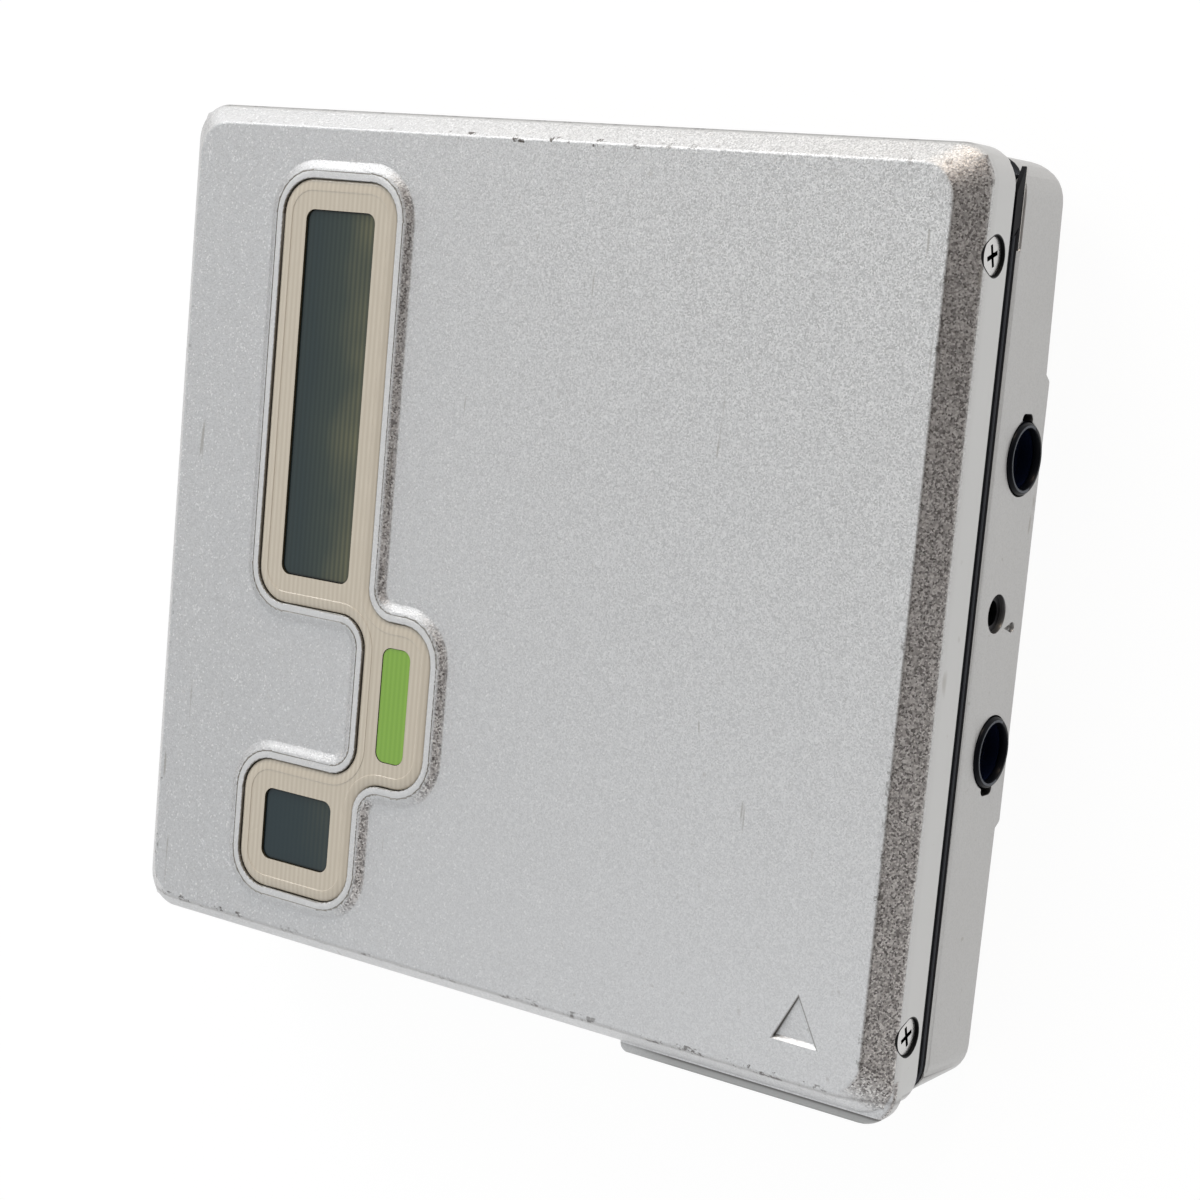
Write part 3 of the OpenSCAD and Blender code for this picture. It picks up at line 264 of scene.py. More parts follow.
def clear_slivers(gap):
    mode("EDIT")
    bpy.ops.mesh.select_all(action="SELECT")
    bpy.ops.mesh.remove_doubles(threshold=gap)
    bpy.ops.mesh.quads_convert_to_tris()
    bpy.ops.mesh.select_all(action="SELECT")
    bpy.ops.mesh.dissolve_degenerate(threshold=gap)
    mode("OBJECT")


def shade(piece, angle):
    bpy.ops.object.shade_smooth_by_angle(angle=math.radians(angle))
    even = piece.modifiers.new("even", "WEIGHTED_NORMAL")
    even.keep_sharp = True
    bpy.ops.object.modifier_apply(modifier=even.name)


def to_size(piece):
    alone(piece)
    clear_slivers(0.001)
    piece.scale = (MM, MM, MM)
    bpy.ops.object.transform_apply()
    shade(piece, 32)


def arc(x, y, r, a0, a1):
    turn = [math.radians(a0 + (a1 - a0) * i / 10) for i in range(11)]
    return [(x + r * math.cos(a), y + r * math.sin(a)) for a in turn]


# The window's outline runs from corner to corner and is moved outwards by the given distance.
window_lo, window_hi = (-26.15, -31.35), (-13.75, 30.5)
bridge_x, bridge_y = -6.55, (-20.0, -5.95)
window_r, inner_r = 3.0, 2.8


def window_outline(out):
    big, neck = window_r + out, inner_r - out
    left, right = window_lo[0] - out, window_hi[0]
    corners = [
        (left, window_hi[1] + out, big), (right + out, window_hi[1] + out, big),
        (right + out, bridge_y[1] + out, neck), (bridge_x + out, bridge_y[1] + out, big),
        (bridge_x + out, bridge_y[0] - out, big), (right + out, bridge_y[0] - out, neck),
        (right + out, window_lo[1] - out, big), (left, window_lo[1] - out, big),
        (left, bridge_y[0] + out, big), (right - out, bridge_y[0] + out, neck),
        (right - out, bridge_y[1] - out, neck), (left, bridge_y[1] - out, big)]
    points = []
    for i, (x, y, r) in enumerate(corners):
        here = Vector((x, y))
        ahead = (Vector(corners[(i + 1) % 12][:2]) - here).normalized()
        behind = (here - Vector(corners[i - 1][:2])).normalized()
        centre = here + r * (ahead - behind)
        for k in range(11):
            a = math.radians(9 * k)
            p = centre + r * (behind * math.sin(a) - ahead * math.cos(a))
            points.append((p.x, p.y))
    return points


def at_outside(p):
    return abs(p.x) > lid_x - edge_band or abs(p.y) > lid_y - edge_band


lid = block("lid_skin", (-lid_x, -lid_y, rim_z), (lid_x, lid_y, bevel_z))
mode("EDIT")
round_edges(lid, upright, corner_r, 12)
pick(lid, "FACE", facing(0, 0, 1))
pull(0, 0, face_z - bevel_z)
widen(1 - bevel_in[0] / lid_x, 1 - bevel_in[1] / lid_y)
pick(lid, "FACE", facing(0, 0, -1))
step_in([(skin, 0)])
pull(0, 0, wall_rise)
pull(0, 0, roof_rise)
widen(roof_x / (lid_x - skin), roof_y / (lid_y - skin))
round_edges(lid, level(face_z), face_soft, 3)
round_edges(lid, level(bevel_z, at_outside), shoulder_soft, 6)
round_edges(lid, level(rim_z, at_outside), foot_soft, 2)
mode("OBJECT")

lip_front = -lid_y - lip_out
lip = plate("lip", arc(lid_x - corner_r, lip_front + corner_r, corner_r, 270, 360)
            + [(lid_x, lip_back), (lip_x, lip_back)]
            + arc(lip_x + lip_r, lip_front + lip_r, lip_r, 180, 270), lip_bottom, bevel_z - lip_drop)
soften(lip, [(0.06, 0.10), (0.08, 0.08), (0.12, 0.04)])
carve(lid, lip, "UNION")
carve(lid, block("opening", (-opening_x, -40, 8), (opening_x, opening_y, lip_bottom)))

rim = plate("rim", window_outline(ring_out), ring_low, ring_high)
soften(rim, [(0.16, 0.02), (0.16, 0.05), (0.16, 0.08), (0.16, 0.10), (0.16, 0.10), (0.14, 0.08),
             (0.12, 0.05), (0.10, 0.02), (0.05, -0.03), (0.05, 0.03), (0.50, 0.01), (0.07, -0.03),
             (0.05, -0.06)])
carve(lid, rim, "UNION")
carve(lid, plate("hole", window_outline(hole_out), 10, 20))

arrow = plate("arrow", [(arrow_x - arrow_half, arrow_foot), (arrow_x + arrow_half, arrow_foot),
                        (arrow_x, arrow_tip)], 15.2, 17)
arrow_floor = ((arrow_x, arrow_tip, 15.6), (0, 0.07, -0.998))
arrow_slope = ((arrow_x, -31.98, face_z), (0, -0.75, -0.66))
mode("EDIT")
for point, way in (arrow_floor, arrow_slope):
    bpy.ops.mesh.select_all(action="SELECT")
    bpy.ops.mesh.bisect(plane_co=point, plane_no=way, use_fill=True, clear_outer=True)
mode("OBJECT")
carve(lid, arrow)


def bore_out(piece):
    tool = bpy.context.object
    bpy.ops.object.transform_apply()
    carve(piece, tool)


across_x = (0, math.pi / 2, 0)
for side, y in [(side, y) for side in (-1, 1) for y in screw_y]:
    bpy.ops.mesh.primitive_cylinder_add(vertices=48, radius=head_r, depth=0.6,
                                        location=(side * 39.05, y, screw_z), rotation=across_x)
    bore_out(lid)
    bpy.ops.mesh.primitive_cone_add(vertices=48, radius1=neck_r, radius2=cone_r, depth=0.72,
                                    location=(side * 38.42, y, screw_z),
                                    rotation=(0, side * math.pi / 2, 0))
    bore_out(lid)
    bpy.ops.mesh.primitive_cylinder_add(vertices=32, radius=neck_r, depth=3,
                                        location=(side * 38, y, screw_z), rotation=across_x)
    bore_out(lid)
to_size(lid)


def face_mark(piece, name, rule):
    values = piece.data.attributes.new(name, "FLOAT", "FACE").data
    for face in piece.data.polygons:
        values[face.index].value = rule(face.center / MM, face.normal)


def clamp(value):
    return min(max(value, 0), 1)


def line_gap(p, points):
    gaps = []
    for a, b in zip(points, points[1:] + points[:1]):
        a, b = Vector(a), Vector(b)
        run = b - a
        share = clamp((p.xy - a).dot(run) / max(run.length_squared, 1e-9))
        gaps.append((p.xy - a - share * run).length)
    return min(gaps)


window = window_outline(0)
crest_in, crest_out, rim_foot = 0.16, 0.71, 0.82
wall_tilt, wall_top = 0.45, 13.0
flat_tilt, steep_tilt = 0.99, 0.87
side_from, side_full = 0.45, 0.85
least_grain, right_grain, left_grain = 0.08, 0.92, 0.3


def by_window(p):
    return -32 < p.x < 0


# Painted light: how strongly a slope shows the grain is set by which way it faces.
def slope_rule(p, n):
    if n.z < wall_tilt or p.z < wall_top:
        return 0.0
    steep = clamp((flat_tilt - n.z) / (flat_tilt - steep_tilt))
    sideways = n.x / max(math.hypot(n.x, n.y), 1e-6)
    turned = clamp((abs(sideways) - side_from) / (side_full - side_from))
    return steep * (least_grain + (right_grain if sideways > 0 else left_grain) * turned)


# Painted shade: the grooves on both sides of the rim's crest are darkened.
def groove_rule(p, n):
    if p.z < 15.5 or not by_window(p):
        return 0.0
    gap = line_gap(p, window)
    return float(gap < crest_in or crest_out < gap < rim_foot)


# Painted highlight: the flat crest of the rim is lightened.
def crest_rule(p, n):
    on_top = p.z > 15.9 and n.z > 0.97 and by_window(p)
    return float(on_top and crest_in < line_gap(p, window) < crest_out)


face_mark(lid, "slope", slope_rule)
face_mark(lid, "wall_side", lambda p, n: clamp((0.6 - n.z) / 0.3))
face_mark(lid, "groove", groove_rule)
face_mark(lid, "crest", crest_rule)
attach(lid, "lid")
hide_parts("lid_shell")


# Paint of the lid: fine metal flakes under clear lacquer, sprayed on the pressing. One group
# gives the flakes' tint, grain and tilt, and a painted glint: white dots for flakes that catch
# the light. The other gives the smears, specks and thin scratches that a carried thing picks up.
# Both serve the rest of the case too.
def sockets(tree, way, kind, *names):
    for name in names:
        tree.interface.new_socket(name=name, in_out=way, socket_type="NodeSocket" + kind)


def feed(tree, target, **sources):
    for key, value in sources.items():
        put(tree, target.inputs[key.replace("_", " ").title().replace("Ior", "IOR")], value)


def object_place(tree):
    return node(tree, "ShaderNodeTexCoord").outputs["Object"]


def mapped(tree, **settings):
    made = node(tree, "ShaderNodeMapping", {"Vector": object_place(tree)})
    feed(tree, made, **settings)
    return made.outputs["Vector"]


def noise(tree, scale, detail, place=None, **more):
    made = node(tree, "ShaderNodeTexNoise", {"Scale": scale, "Detail": detail})
    feed(tree, made, vector=object_place(tree) if place is None else place, **more)
    return made.outputs["Fac"]


def threshold(tree, value, low, high):
    return ramp(tree, value, [(low, (0, 0, 0)), (high, (1, 1, 1))])


def times(tree, a, b):
    return calc(tree, "MULTIPLY", a, b)


def bump(tree, height, strength, depth):
    return node(tree, "ShaderNodeBump", {
        "Height": height, "Strength": strength, "Distance": depth * MM}).outputs["Normal"]


flakes = bpy.data.node_groups.new("flakes", "ShaderNodeTree")
sockets(flakes, "INPUT", "Float", "Size", "Relief")
sockets(flakes, "OUTPUT", "Float", "Tint", "Grain", "Spark")
sockets(flakes, "OUTPUT", "Vector", "Normal")
given = node(flakes, "NodeGroupInput").outputs
cells = node(flakes, "ShaderNodeTexVoronoi", {
    "Vector": object_place(flakes), "Scale": given["Size"]}, feature="F1")
cell = node(flakes, "ShaderNodeSeparateColor", {"Color": cells.outputs["Color"]}).outputs
grit = noise(flakes, times(flakes, given["Size"], 0.8), 3.0, roughness=0.7)
mixed = calc(flakes, "ADD", times(flakes, cell["Red"], 0.6), grit)
# Spark is a painted glint: some flakes are coloured near white, as if they caught the light.
feed(flakes, node(flakes, "NodeGroupOutput"), tint=mixed, grain=cell["Blue"],
     spark=threshold(flakes, cell["Green"], 0.90, 0.97),
     normal=bump(flakes, mixed, given["Relief"], 0.06))

grime = bpy.data.node_groups.new("grime", "ShaderNodeTree")
sockets(grime, "INPUT", "Float", "Specks")
sockets(grime, "OUTPUT", "Float", "Smears", "Marks")
given = node(grime, "NodeGroupInput").outputs
speck = times(grime, threshold(grime, noise(grime, 900.0, 2.0), 0.70, 0.76),
              threshold(grime, noise(grime, 38.0, 2.0), 0.52, 0.66))
steep = mapped(grime, rotation=(0, 0, 0.35), scale=(900, 55, 300))
slant = mapped(grime, location=(7, 3, 5), rotation=(0, 0, -0.9), scale=(1100, 110, 300))
scratch = calc(grime, "MAXIMUM",
               threshold(grime, noise(grime, 1.0, 2.0, steep, distortion=0.4), 0.738, 0.76),
               threshold(grime, noise(grime, 1.0, 2.0, slant, distortion=0.6), 0.742, 0.765))
feed(grime, node(grime, "NodeGroupOutput"), smears=noise(grime, 55.0, 5.0, roughness=0.6),
     marks=calc(grime, "MAXIMUM", times(grime, speck, given["Specks"]), scratch))


def material(name, **values):
    made = bpy.data.materials.new(name)
    made.use_nodes = True
    shader = made.node_tree.nodes["Principled BSDF"]
    feed(made.node_tree, shader, **values)
    return made, made.node_tree, shader


def group(tree, which, **values):
    made = node(tree, "ShaderNodeGroup", node_tree=which)
    feed(tree, made, **values)
    return made.outputs


def blend(tree, factor, under, upper):
    return node(tree, "ShaderNodeMix", {"Factor": factor, "A": under, "B": upper},
                data_type="RGBA").outputs["Result"]


def spread(tree, value, low, high, start=0.0, end=1.0):
    return node(tree, "ShaderNodeMapRange", {
        "Value": value, "From Min": start, "From Max": end, "To Min": low, "To Max": high,
    }).outputs["Result"]


def axes(tree):
    return node(tree, "ShaderNodeSeparateXYZ", {"Vector": object_place(tree)}).outputs


def box_sides(tree, x, y, lo, hi, r=0):
    sides = []
    for value, a, b in zip((x, y), lo, hi):
        off = calc(tree, "ABSOLUTE", calc(tree, "SUBTRACT", value, (a + b) / 2 * MM))
        sides.append(calc(tree, "SUBTRACT", off, ((b - a) / 2 - r) * MM))
    return sides


def near(tree, value, place, width):
    off = calc(tree, "ABSOLUTE", calc(tree, "SUBTRACT", value, place * MM))
    return spread(tree, off, 1.0, 0.0, 0.0, width * MM)


def half_plane(tree, x, y, point, way):
    way = Vector(way).normalized()
    across = times(tree, calc(tree, "SUBTRACT", x, point[0] * MM), way.x)
    up = times(tree, calc(tree, "SUBTRACT", y, point[1] * MM), way.y)
    return calc(tree, "ADD", across, up)


def mark(tree, name):
    return node(tree, "ShaderNodeAttribute", attribute_name=name).outputs["Fac"]


def cover(piece, *finishes):
    piece.data.materials.clear()
    for finish in finishes:
        piece.data.materials.append(finish)


lid_paint, tree, shader = material("lid_paint", metallic=0.78)
x, y, z = axes(tree)
wall_side = mark(tree, "wall_side")
flake = group(tree, flakes, size=7000.0, relief=spread(tree, wall_side, 0.9, 0.06))
dust = group(tree, flakes, size=8500.0)
dirt = group(tree, grime, specks=0.55)
paint = blend(tree, flake["Tint"], (0.48, 0.482, 0.486), (0.66, 0.666, 0.672))
# Painted glint: the sparking flakes are mixed in near white.
paint = blend(tree, times(tree, flake["Spark"], 0.5), paint, (0.98, 0.98, 0.98))

# The face is painted brighter towards the lower right, a painted sheen for the light it reflects
# there, and it is more speckled towards the upper right. The slopes show a coarse brown-grey flake
# grain, painted strongest where they look sideways and most to the right, where the light brings it
# out; towards the hinge the grain is darkened with painted shade.
across = spread(tree, x, 0.0, 1.0, -30 * MM, 36 * MM)
upward = spread(tree, y, 0.35, 1.0, -30 * MM, 25 * MM)
# Painted sheen: the face is lightened towards the lower right.
bright = times(tree, across, calc(tree, "SUBTRACT", 1.1, upward))
paint = blend(tree, times(tree, bright, 1.1), paint, (0.80, 0.806, 0.817))
broad = ramp(tree, across, [(0.0, (0.03, 0.03, 0.03)), (0.5, (0.55, 0.55, 0.55)),
                            (1.0, (0.85, 0.85, 0.85))])
speckle = ramp(tree, dust["Grain"], [(0.0, (0.44, 0.44, 0.437)), (0.5, (0.685, 0.687, 0.685)),
                                     (1.0, (0.92, 0.92, 0.915))])
paint = blend(tree, times(tree, broad, upward), paint, speckle)
grain = ramp(tree, flake["Grain"], [
    (0.0, (0.16, 0.15, 0.145)), (0.45, (0.545, 0.52, 0.51)),
    (0.78, (0.79, 0.765, 0.75)), (1.0, (1.0, 0.98, 0.96))])
# Painted shade: the slope grain darkens towards the hinge.
hinge_shade = spread(tree, y, 0.0, 0.36, -33 * MM, 20 * MM)
grain = blend(tree, hinge_shade, grain, (0.14, 0.132, 0.125))
paint = blend(tree, mark(tree, "slope"), paint, grain)
paint = blend(tree, wall_side, paint, (0.58, 0.58, 0.572))

# Wear: scratches and specks, and paint chipped from the edges of the face. The dark lines along the
# front, rear and right edges are painted shade, broken up by the chip noise.
chips = threshold(tree, noise(tree, 800.0, 4.0, roughness=0.75), 0.57, 0.63)
patch = ramp(tree, noise(tree, 42.0, 2.0), [(0.50, (0.03, 0.03, 0.03)), (0.66, (1, 1, 1))])
right_side = calc(tree, "GREATER_THAN", x, 30 * MM)
patch = calc(tree, "MAXIMUM", patch, times(tree, right_side, 0.5))
rim_gap = calc(tree, "MAXIMUM", *box_sides(tree, x, y, (-36.75, -34.9), (36.75, 34.9)))
at_edge = calc(tree, "GREATER_THAN", near(tree, rim_gap, 0, 0.5), 0.35)
on_face = calc(tree, "GREATER_THAN", z, 15.3 * MM)
# Painted shade lines along the front crease, the rear edge and the right crease of the face.
front_shade_line = near(tree, y, -35.1, 0.3)
rear_shade_line = times(tree, near(tree, y, 36.62, 0.3), near(tree, z, 13.5, 0.5))
right_shade_line = times(tree, near(tree, x, 36.8, 0.14), on_face)
paint = blend(tree, times(tree, dirt["Marks"], 0.55), paint, (0.34, 0.32, 0.29))
paint = blend(tree, times(tree, times(tree, chips, patch), at_edge), paint, (0.11, 0.10, 0.09))
for line, least, colour in ((front_shade_line, 0.45, (0.16, 0.15, 0.145)),
                            (rear_shade_line, 0.8, (0.05, 0.048, 0.045)),
                            (right_shade_line, 0.4, (0.17, 0.16, 0.15))):
    paint = blend(tree, times(tree, line, calc(tree, "ADD", chips, least)), paint, colour)

# The sunk arrow has painted shade along its two legs and a painted highlight on its foot.
foot_y, foot_half = -31.9, 1.95
leg_rise = arrow_tip - foot_y
leg = calc(tree, "MAXIMUM",
           half_plane(tree, x, y, (arrow_x - foot_half, foot_y), (-leg_rise, foot_half)),
           half_plane(tree, x, y, (arrow_x + foot_half, foot_y), (leg_rise, foot_half)))
foot = half_plane(tree, x, y, (arrow_x, foot_y), (0, -1))
# Painted shade along the legs, and a painted highlight on the foot.
legs = times(tree, near(tree, leg, 0, 0.13), calc(tree, "LESS_THAN", foot, 0.1 * MM))
foot_highlight = times(tree, near(tree, foot, 0, 0.16), calc(tree, "LESS_THAN", leg, 0.02 * MM))
paint = blend(tree, times(tree, times(tree, legs, on_face), 0.85), paint, (0.13, 0.115, 0.10))
paint = blend(tree, times(tree, foot_highlight, on_face), paint, (1.0, 1.0, 1.0))

# The lip's front is painted in bands of shade with a lighter painted highlight band. The rim's crest
# gets a painted highlight with painted shade lines on both sides of it, and the screw seats are
# painted black inside as shade.
# Painted shade on the lip's front, in bands, with a lighter painted highlight band.
out = spread(tree, y, 0.0, 1.0, -37.4 * MM, -36.5 * MM)
lip_painted_shade = ramp(tree, out, [
    (0.0, (0.22, 0.225, 0.22)), (0.12, (0.32, 0.325, 0.32)), (0.25, (0.50, 0.50, 0.495)),
    (0.6, (0.45, 0.45, 0.445)), (0.78, (0.19, 0.185, 0.18)), (1.0, (0.20, 0.195, 0.19))])
lip_start = spread(tree, x, 0.35, 1.0, lip_x * MM, 19 * MM)
lip_zone = times(tree, calc(tree, "LESS_THAN", y, -36.62 * MM), lip_start)
paint = blend(tree, lip_zone, paint, lip_painted_shade)
# Painted highlight on the rim's crest, painted shade in the grooves on both sides of it.
paint = blend(tree, times(tree, mark(tree, "crest"), 0.6), paint, (0.80, 0.80, 0.795))
paint = blend(tree, times(tree, mark(tree, "groove"), 0.7), paint, (0.17, 0.15, 0.11))
at_wall = calc(tree, "GREATER_THAN", calc(tree, "ABSOLUTE", x), 37.9 * MM)
flat = node(tree, "ShaderNodeCombineXYZ", {"Y": y, "Z": z}).outputs["Vector"]
# Painted shade: the screw seats are black round the heads.
for seat_y in screw_y:
    reach = node(tree, "ShaderNodeVectorMath", {0: flat, 1: (0, seat_y * MM, screw_z * MM)},
                 operation="DISTANCE").outputs["Value"]
    seat = times(tree, calc(tree, "LESS_THAN", reach, 1.6 * MM), at_wall)
    paint = blend(tree, seat, paint, (0.012, 0.012, 0.012))
feed(tree, shader, base_color=paint, roughness=spread(tree, dirt["Smears"], 0.33, 0.45),
     normal=flake["Normal"])
cover(lid, lid_paint)


# Window bezel: a clear moulding printed beige behind, with fine upright lines all over and gaps
# for the two displays and the bar. It stands in the rim with a hair of a gap, and a flange holds
# it from behind.
def rounded(lo, hi, r):
    return (arc(hi[0] - r, hi[1] - r, r, 0, 90) + arc(lo[0] + r, hi[1] - r, r, 90, 180)
            + arc(lo[0] + r, lo[1] + r, r, 180, 270) + arc(hi[0] - r, lo[1] + r, r, 270, 360))


long_display = ((-23.65, -3.45), (-16.05, 28.0))
small_display = ((-23.65, -28.85), (-16.05, -22.5))
bar = ((-11.65, -17.925), (-8.65, -8.025))
gap_r, line_pitch, bezel_foot = 0.9, 0.5, 14.1
bezel = plate("bezel", window_outline(0.02), bezel_foot, 15.9)
soften(bezel, [(0.05, 0.06), (0.12, 0.05), (0.2, 0.04), (0.2, 0.03), (0.2, 0.02), (0.14, 0.0),
               (0.06, -0.04)])
flange = plate("flange", window_outline(0.7), bezel_foot, 14.9)
for piece in (bezel, flange):
    for lo, hi in (long_display, small_display, bar):
        carve(piece, plate("gap", rounded(lo, hi, gap_r), 13, 18))
carve(bezel, flange, "UNION")
to_size(bezel)
# Painted shade: the upright edges of the bezel are marked to be darkened.
face_mark(bezel, "edge", lambda p, n: float(abs(n.z) < 0.35))
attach(bezel, "lid")
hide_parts("window_bezel")


def stripes(tree, value, pitch, low, high):
    wave = calc(tree, "SINE", times(tree, value, 2 * math.pi / (pitch * MM)))
    return spread(tree, wave, low, high, -1.0, 1.0)


beige, tree, shader = material("bezel_beige", coat_weight=0.6, coat_roughness=0.06)
broken = noise(tree, 1.0, 2.0, mapped(tree, scale=(3600, 500, 500)))
line = times(tree, stripes(tree, axes(tree)["X"], line_pitch, 0.0, 1.3), broken)
colour = blend(tree, line, (0.60, 0.535, 0.43), (0.715, 0.65, 0.535))
# Painted shade on the bezel's upright edges, in the gap to the rim and round the display gaps.
colour = blend(tree, mark(tree, "edge"), colour, (0.07, 0.06, 0.035))
feed(tree, shader, base_color=colour, normal=bump(tree, line, 0.25, 0.04),
     roughness=spread(tree, group(tree, grime)["Smears"], 0.16, 0.34))
cover(bezel, beige)


# Displays: dark green-grey liquid crystal glass behind the bezel's gaps, with the same upright
# lines, a black line round each, and a painted olive sheen towards the right, for the lamp's light
# where it looks in.
def dress(finish, *names):
    for name in names:
        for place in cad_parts[name].material_slots:
            place.material = finish


def round_gap(tree, x, y, lo, hi, r):
    sides = box_sides(tree, x, y, lo, hi, r)
    past = [calc(tree, "MAXIMUM", side, 0) for side in sides]
    corner = node(tree, "ShaderNodeCombineXYZ", {"X": past[0], "Y": past[1]}).outputs["Vector"]
    far = node(tree, "ShaderNodeVectorMath", {0: corner}, operation="LENGTH").outputs["Value"]
    deep = calc(tree, "MINIMUM", calc(tree, "MAXIMUM", *sides), 0)
    return calc(tree, "SUBTRACT", calc(tree, "ADD", far, deep), r * MM)


glass, tree, shader = material("display_dark", roughness=0.16, specular_ior_level=0.2,
                               coat_weight=0.2, coat_roughness=0.05)
x, y, _ = axes(tree)
# Painted sheen: an olive tint towards the right of each display.
sheen_rightward = spread(tree, x, 0.0, 1.0, -23.5 * MM, -15.5 * MM)
colour = ramp(tree, times(tree, sheen_rightward, noise(tree, 90.0, 2.0)), [
    (0.08, (0.034, 0.053, 0.055)), (0.28, (0.056, 0.075, 0.063)), (0.52, (0.17, 0.17, 0.10))])
line = stripes(tree, x, line_pitch, 0.0, 0.5)
colour = blend(tree, line, colour, (0.024, 0.037, 0.037))
in_small = times(tree, calc(tree, "LESS_THAN", y, -20 * MM), 0.8)
colour = blend(tree, in_small, colour, (0.024, 0.043, 0.052))
for lo, hi in (long_display, small_display):
    border = near(tree, round_gap(tree, x, y, lo, hi, gap_r), 0, 0.24)
    colour = blend(tree, border, colour, (0.002, 0.003, 0.004))
feed(tree, shader, base_color=colour, normal=bump(tree, line, 0.15, 0.03))
dress(glass, "long_display", "small_display")

# Accent bar: a moulded green plastic insert, pressed into the bezel's bridge from behind and lined
# like the bezel.
green, tree, shader = material("accent_green", coat_weight=0.5, coat_roughness=0.06)
line = stripes(tree, axes(tree)["X"], line_pitch, 0.0, 1.0)
feed(tree, shader, base_color=blend(tree, line, (0.215, 0.435, 0.035), (0.25, 0.485, 0.045)),
     roughness=spread(tree, group(tree, grime)["Smears"], 0.18, 0.34))
dress(green, "accent_bar")

# Base shell: a moulded case in the same silver with a finer, smoother coat, screwed together from
# the back. Its socket holes, socket key notches, bush hole and hinge slope are painted dark as
# shade. The battery door, buttons and sliders are painted with it.
base = add_object("base_case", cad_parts["base_shell"].data.copy())
alone(base)
mode("EDIT")
bpy.ops.mesh.select_all(action="SELECT")
bpy.ops.mesh.remove_doubles(threshold=0.002 * MM)
bpy.ops.mesh.dissolve_limited(angle_limit=math.radians(0.5))
mode("OBJECT")
edges = base.modifiers.new("soft_edges", "BEVEL")
edges.width = 0.1 * MM
edges.segments = 2
edges.limit_method = "ANGLE"
edges.angle_limit = math.radians(40)
edges.use_clamp_overlap = False
bpy.ops.object.modifier_apply(modifier=edges.name)
clear_slivers(0.001 * MM)
shade(base, 35)

socket_y, socket_z = (13.744, -9.101), 3.55
hole_reach, notch_reach, notch_shade = 2.95, 3.8, 0.72
bush_y, bush_z, bush_reach, bush_shade = 1.865, 5.2, 1.7, 0.66
hinge_y, hinge_z, right_wall = 34, 7, 36


def socket_gap(p):
    return min(math.hypot(p.y - y, p.z - socket_z) for y in socket_y)


# Painted shade: hole walls, notches and the hinge slope are marked to be darkened.
def shade_rule(p, n):
    if p.y > hinge_y and p.z > hinge_z and n.z > 0.15:
        return 1.0
    if p.x < right_wall or abs(n.x) > 0.6:
        return 0.0
    if math.hypot(p.y - bush_y, p.z - bush_z) < bush_reach:
        return bush_shade
    gap = socket_gap(p)
    return 1.0 if gap < hole_reach else notch_shade if gap < notch_reach else 0.0


face_mark(base, "shade", shade_rule)
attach(base, "base")
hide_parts("base_shell")

case_paint, tree, shader = material("case_paint", metallic=0.72)
flake = group(tree, flakes, size=9000.0, relief=0.05)
dirt = group(tree, grime, specks=0.8)
paint = blend(tree, flake["Tint"], (0.42, 0.418, 0.41), (0.51, 0.507, 0.50))
# Painted shade in the socket and bush holes, the socket notches and on the hinge slope.
paint = blend(tree, mark(tree, "shade"), paint, (0.006, 0.007, 0.010))
paint = blend(tree, times(tree, dirt["Marks"], 0.6), paint, (0.30, 0.28, 0.25))
feed(tree, shader, base_color=paint, roughness=spread(tree, dirt["Smears"], 0.26, 0.42),
     normal=flake["Normal"])
cover(base, case_paint)
dress(case_paint, "battery_door", "previous_button", "play_button", "next_button", "stop_button",
      "volume_down_button", "volume_up_button", "hold_switch", "open_slider")

# Turned and drawn steel: screws in the back and the deck, hinge and door pins, guide rods, the
# latch spring and the turntable. All are nickel plated, with fine marks from the lathe.
bright, tree, shader = material("bright_plate", metallic=1.0)
dirt = group(tree, grime, specks=0.6)
turned = noise(tree, 2600.0, 3.0)
colour = blend(tree, dirt["Smears"], (0.62, 0.61, 0.60), (0.84, 0.83, 0.82))
feed(tree, shader, base_color=blend(tree, dirt["Marks"], colour, (0.22, 0.20, 0.18)),
     roughness=spread(tree, turned, 0.12, 0.34), normal=bump(tree, turned, 0.08, 0.02))
dress(bright, "back_screws", "deck_screws", "hinge_pins", "door_pin", "guide_rods", "latch_spring",
      "turntable")


# Lid screws: four small countersunk cross-head screws, two in each side wall of the lid. They are
# plated steel, and the cross is painted black as shade.
def smeared(name, dark, light, rough, **values):
    made, tree, shader = material(name, **values)
    smears = group(tree, grime)["Smears"]
    colour = blend(tree, smears, dark, light)
    feed(tree, shader, base_color=colour, roughness=spread(tree, smears, *rough))
    return made, tree, shader, colour


cross_floor = 38.71
plated, tree, shader, colour = smeared("screw_plate", (0.50, 0.49, 0.48), (0.72, 0.71, 0.70),
                                       (0.16, 0.36), metallic=1.0)
# Painted shade: the cross recess is painted black.
cross_shade = calc(tree, "LESS_THAN", calc(tree, "ABSOLUTE", axes(tree)["X"]), cross_floor * MM)
feed(tree, shader, base_color=blend(tree, cross_shade, colour, (0.02, 0.02, 0.02)))
dress(plated, "lid_screws")

# Sheet steel: the disc holder under the lid, the deck, the latch plate and the motor cans, pressed
# from rolled sheet that is lightly brushed along X.
sheet, tree, shader = material("sheet_steel", metallic=1.0)
brush = noise(tree, 1.0, 4.0, mapped(tree, scale=(120, 3800, 3800)), roughness=0.65)
cloud = noise(tree, 90.0, 3.0)
feed(tree, shader, base_color=blend(tree, cloud, (0.42, 0.42, 0.42), (0.62, 0.62, 0.61)),
     roughness=spread(tree, brush, 0.24, 0.48), normal=bump(tree, brush, 0.12, 0.03))
dress(sheet, "lid_frame", "deck", "latch_plate", "spindle_motor", "sled_motor")

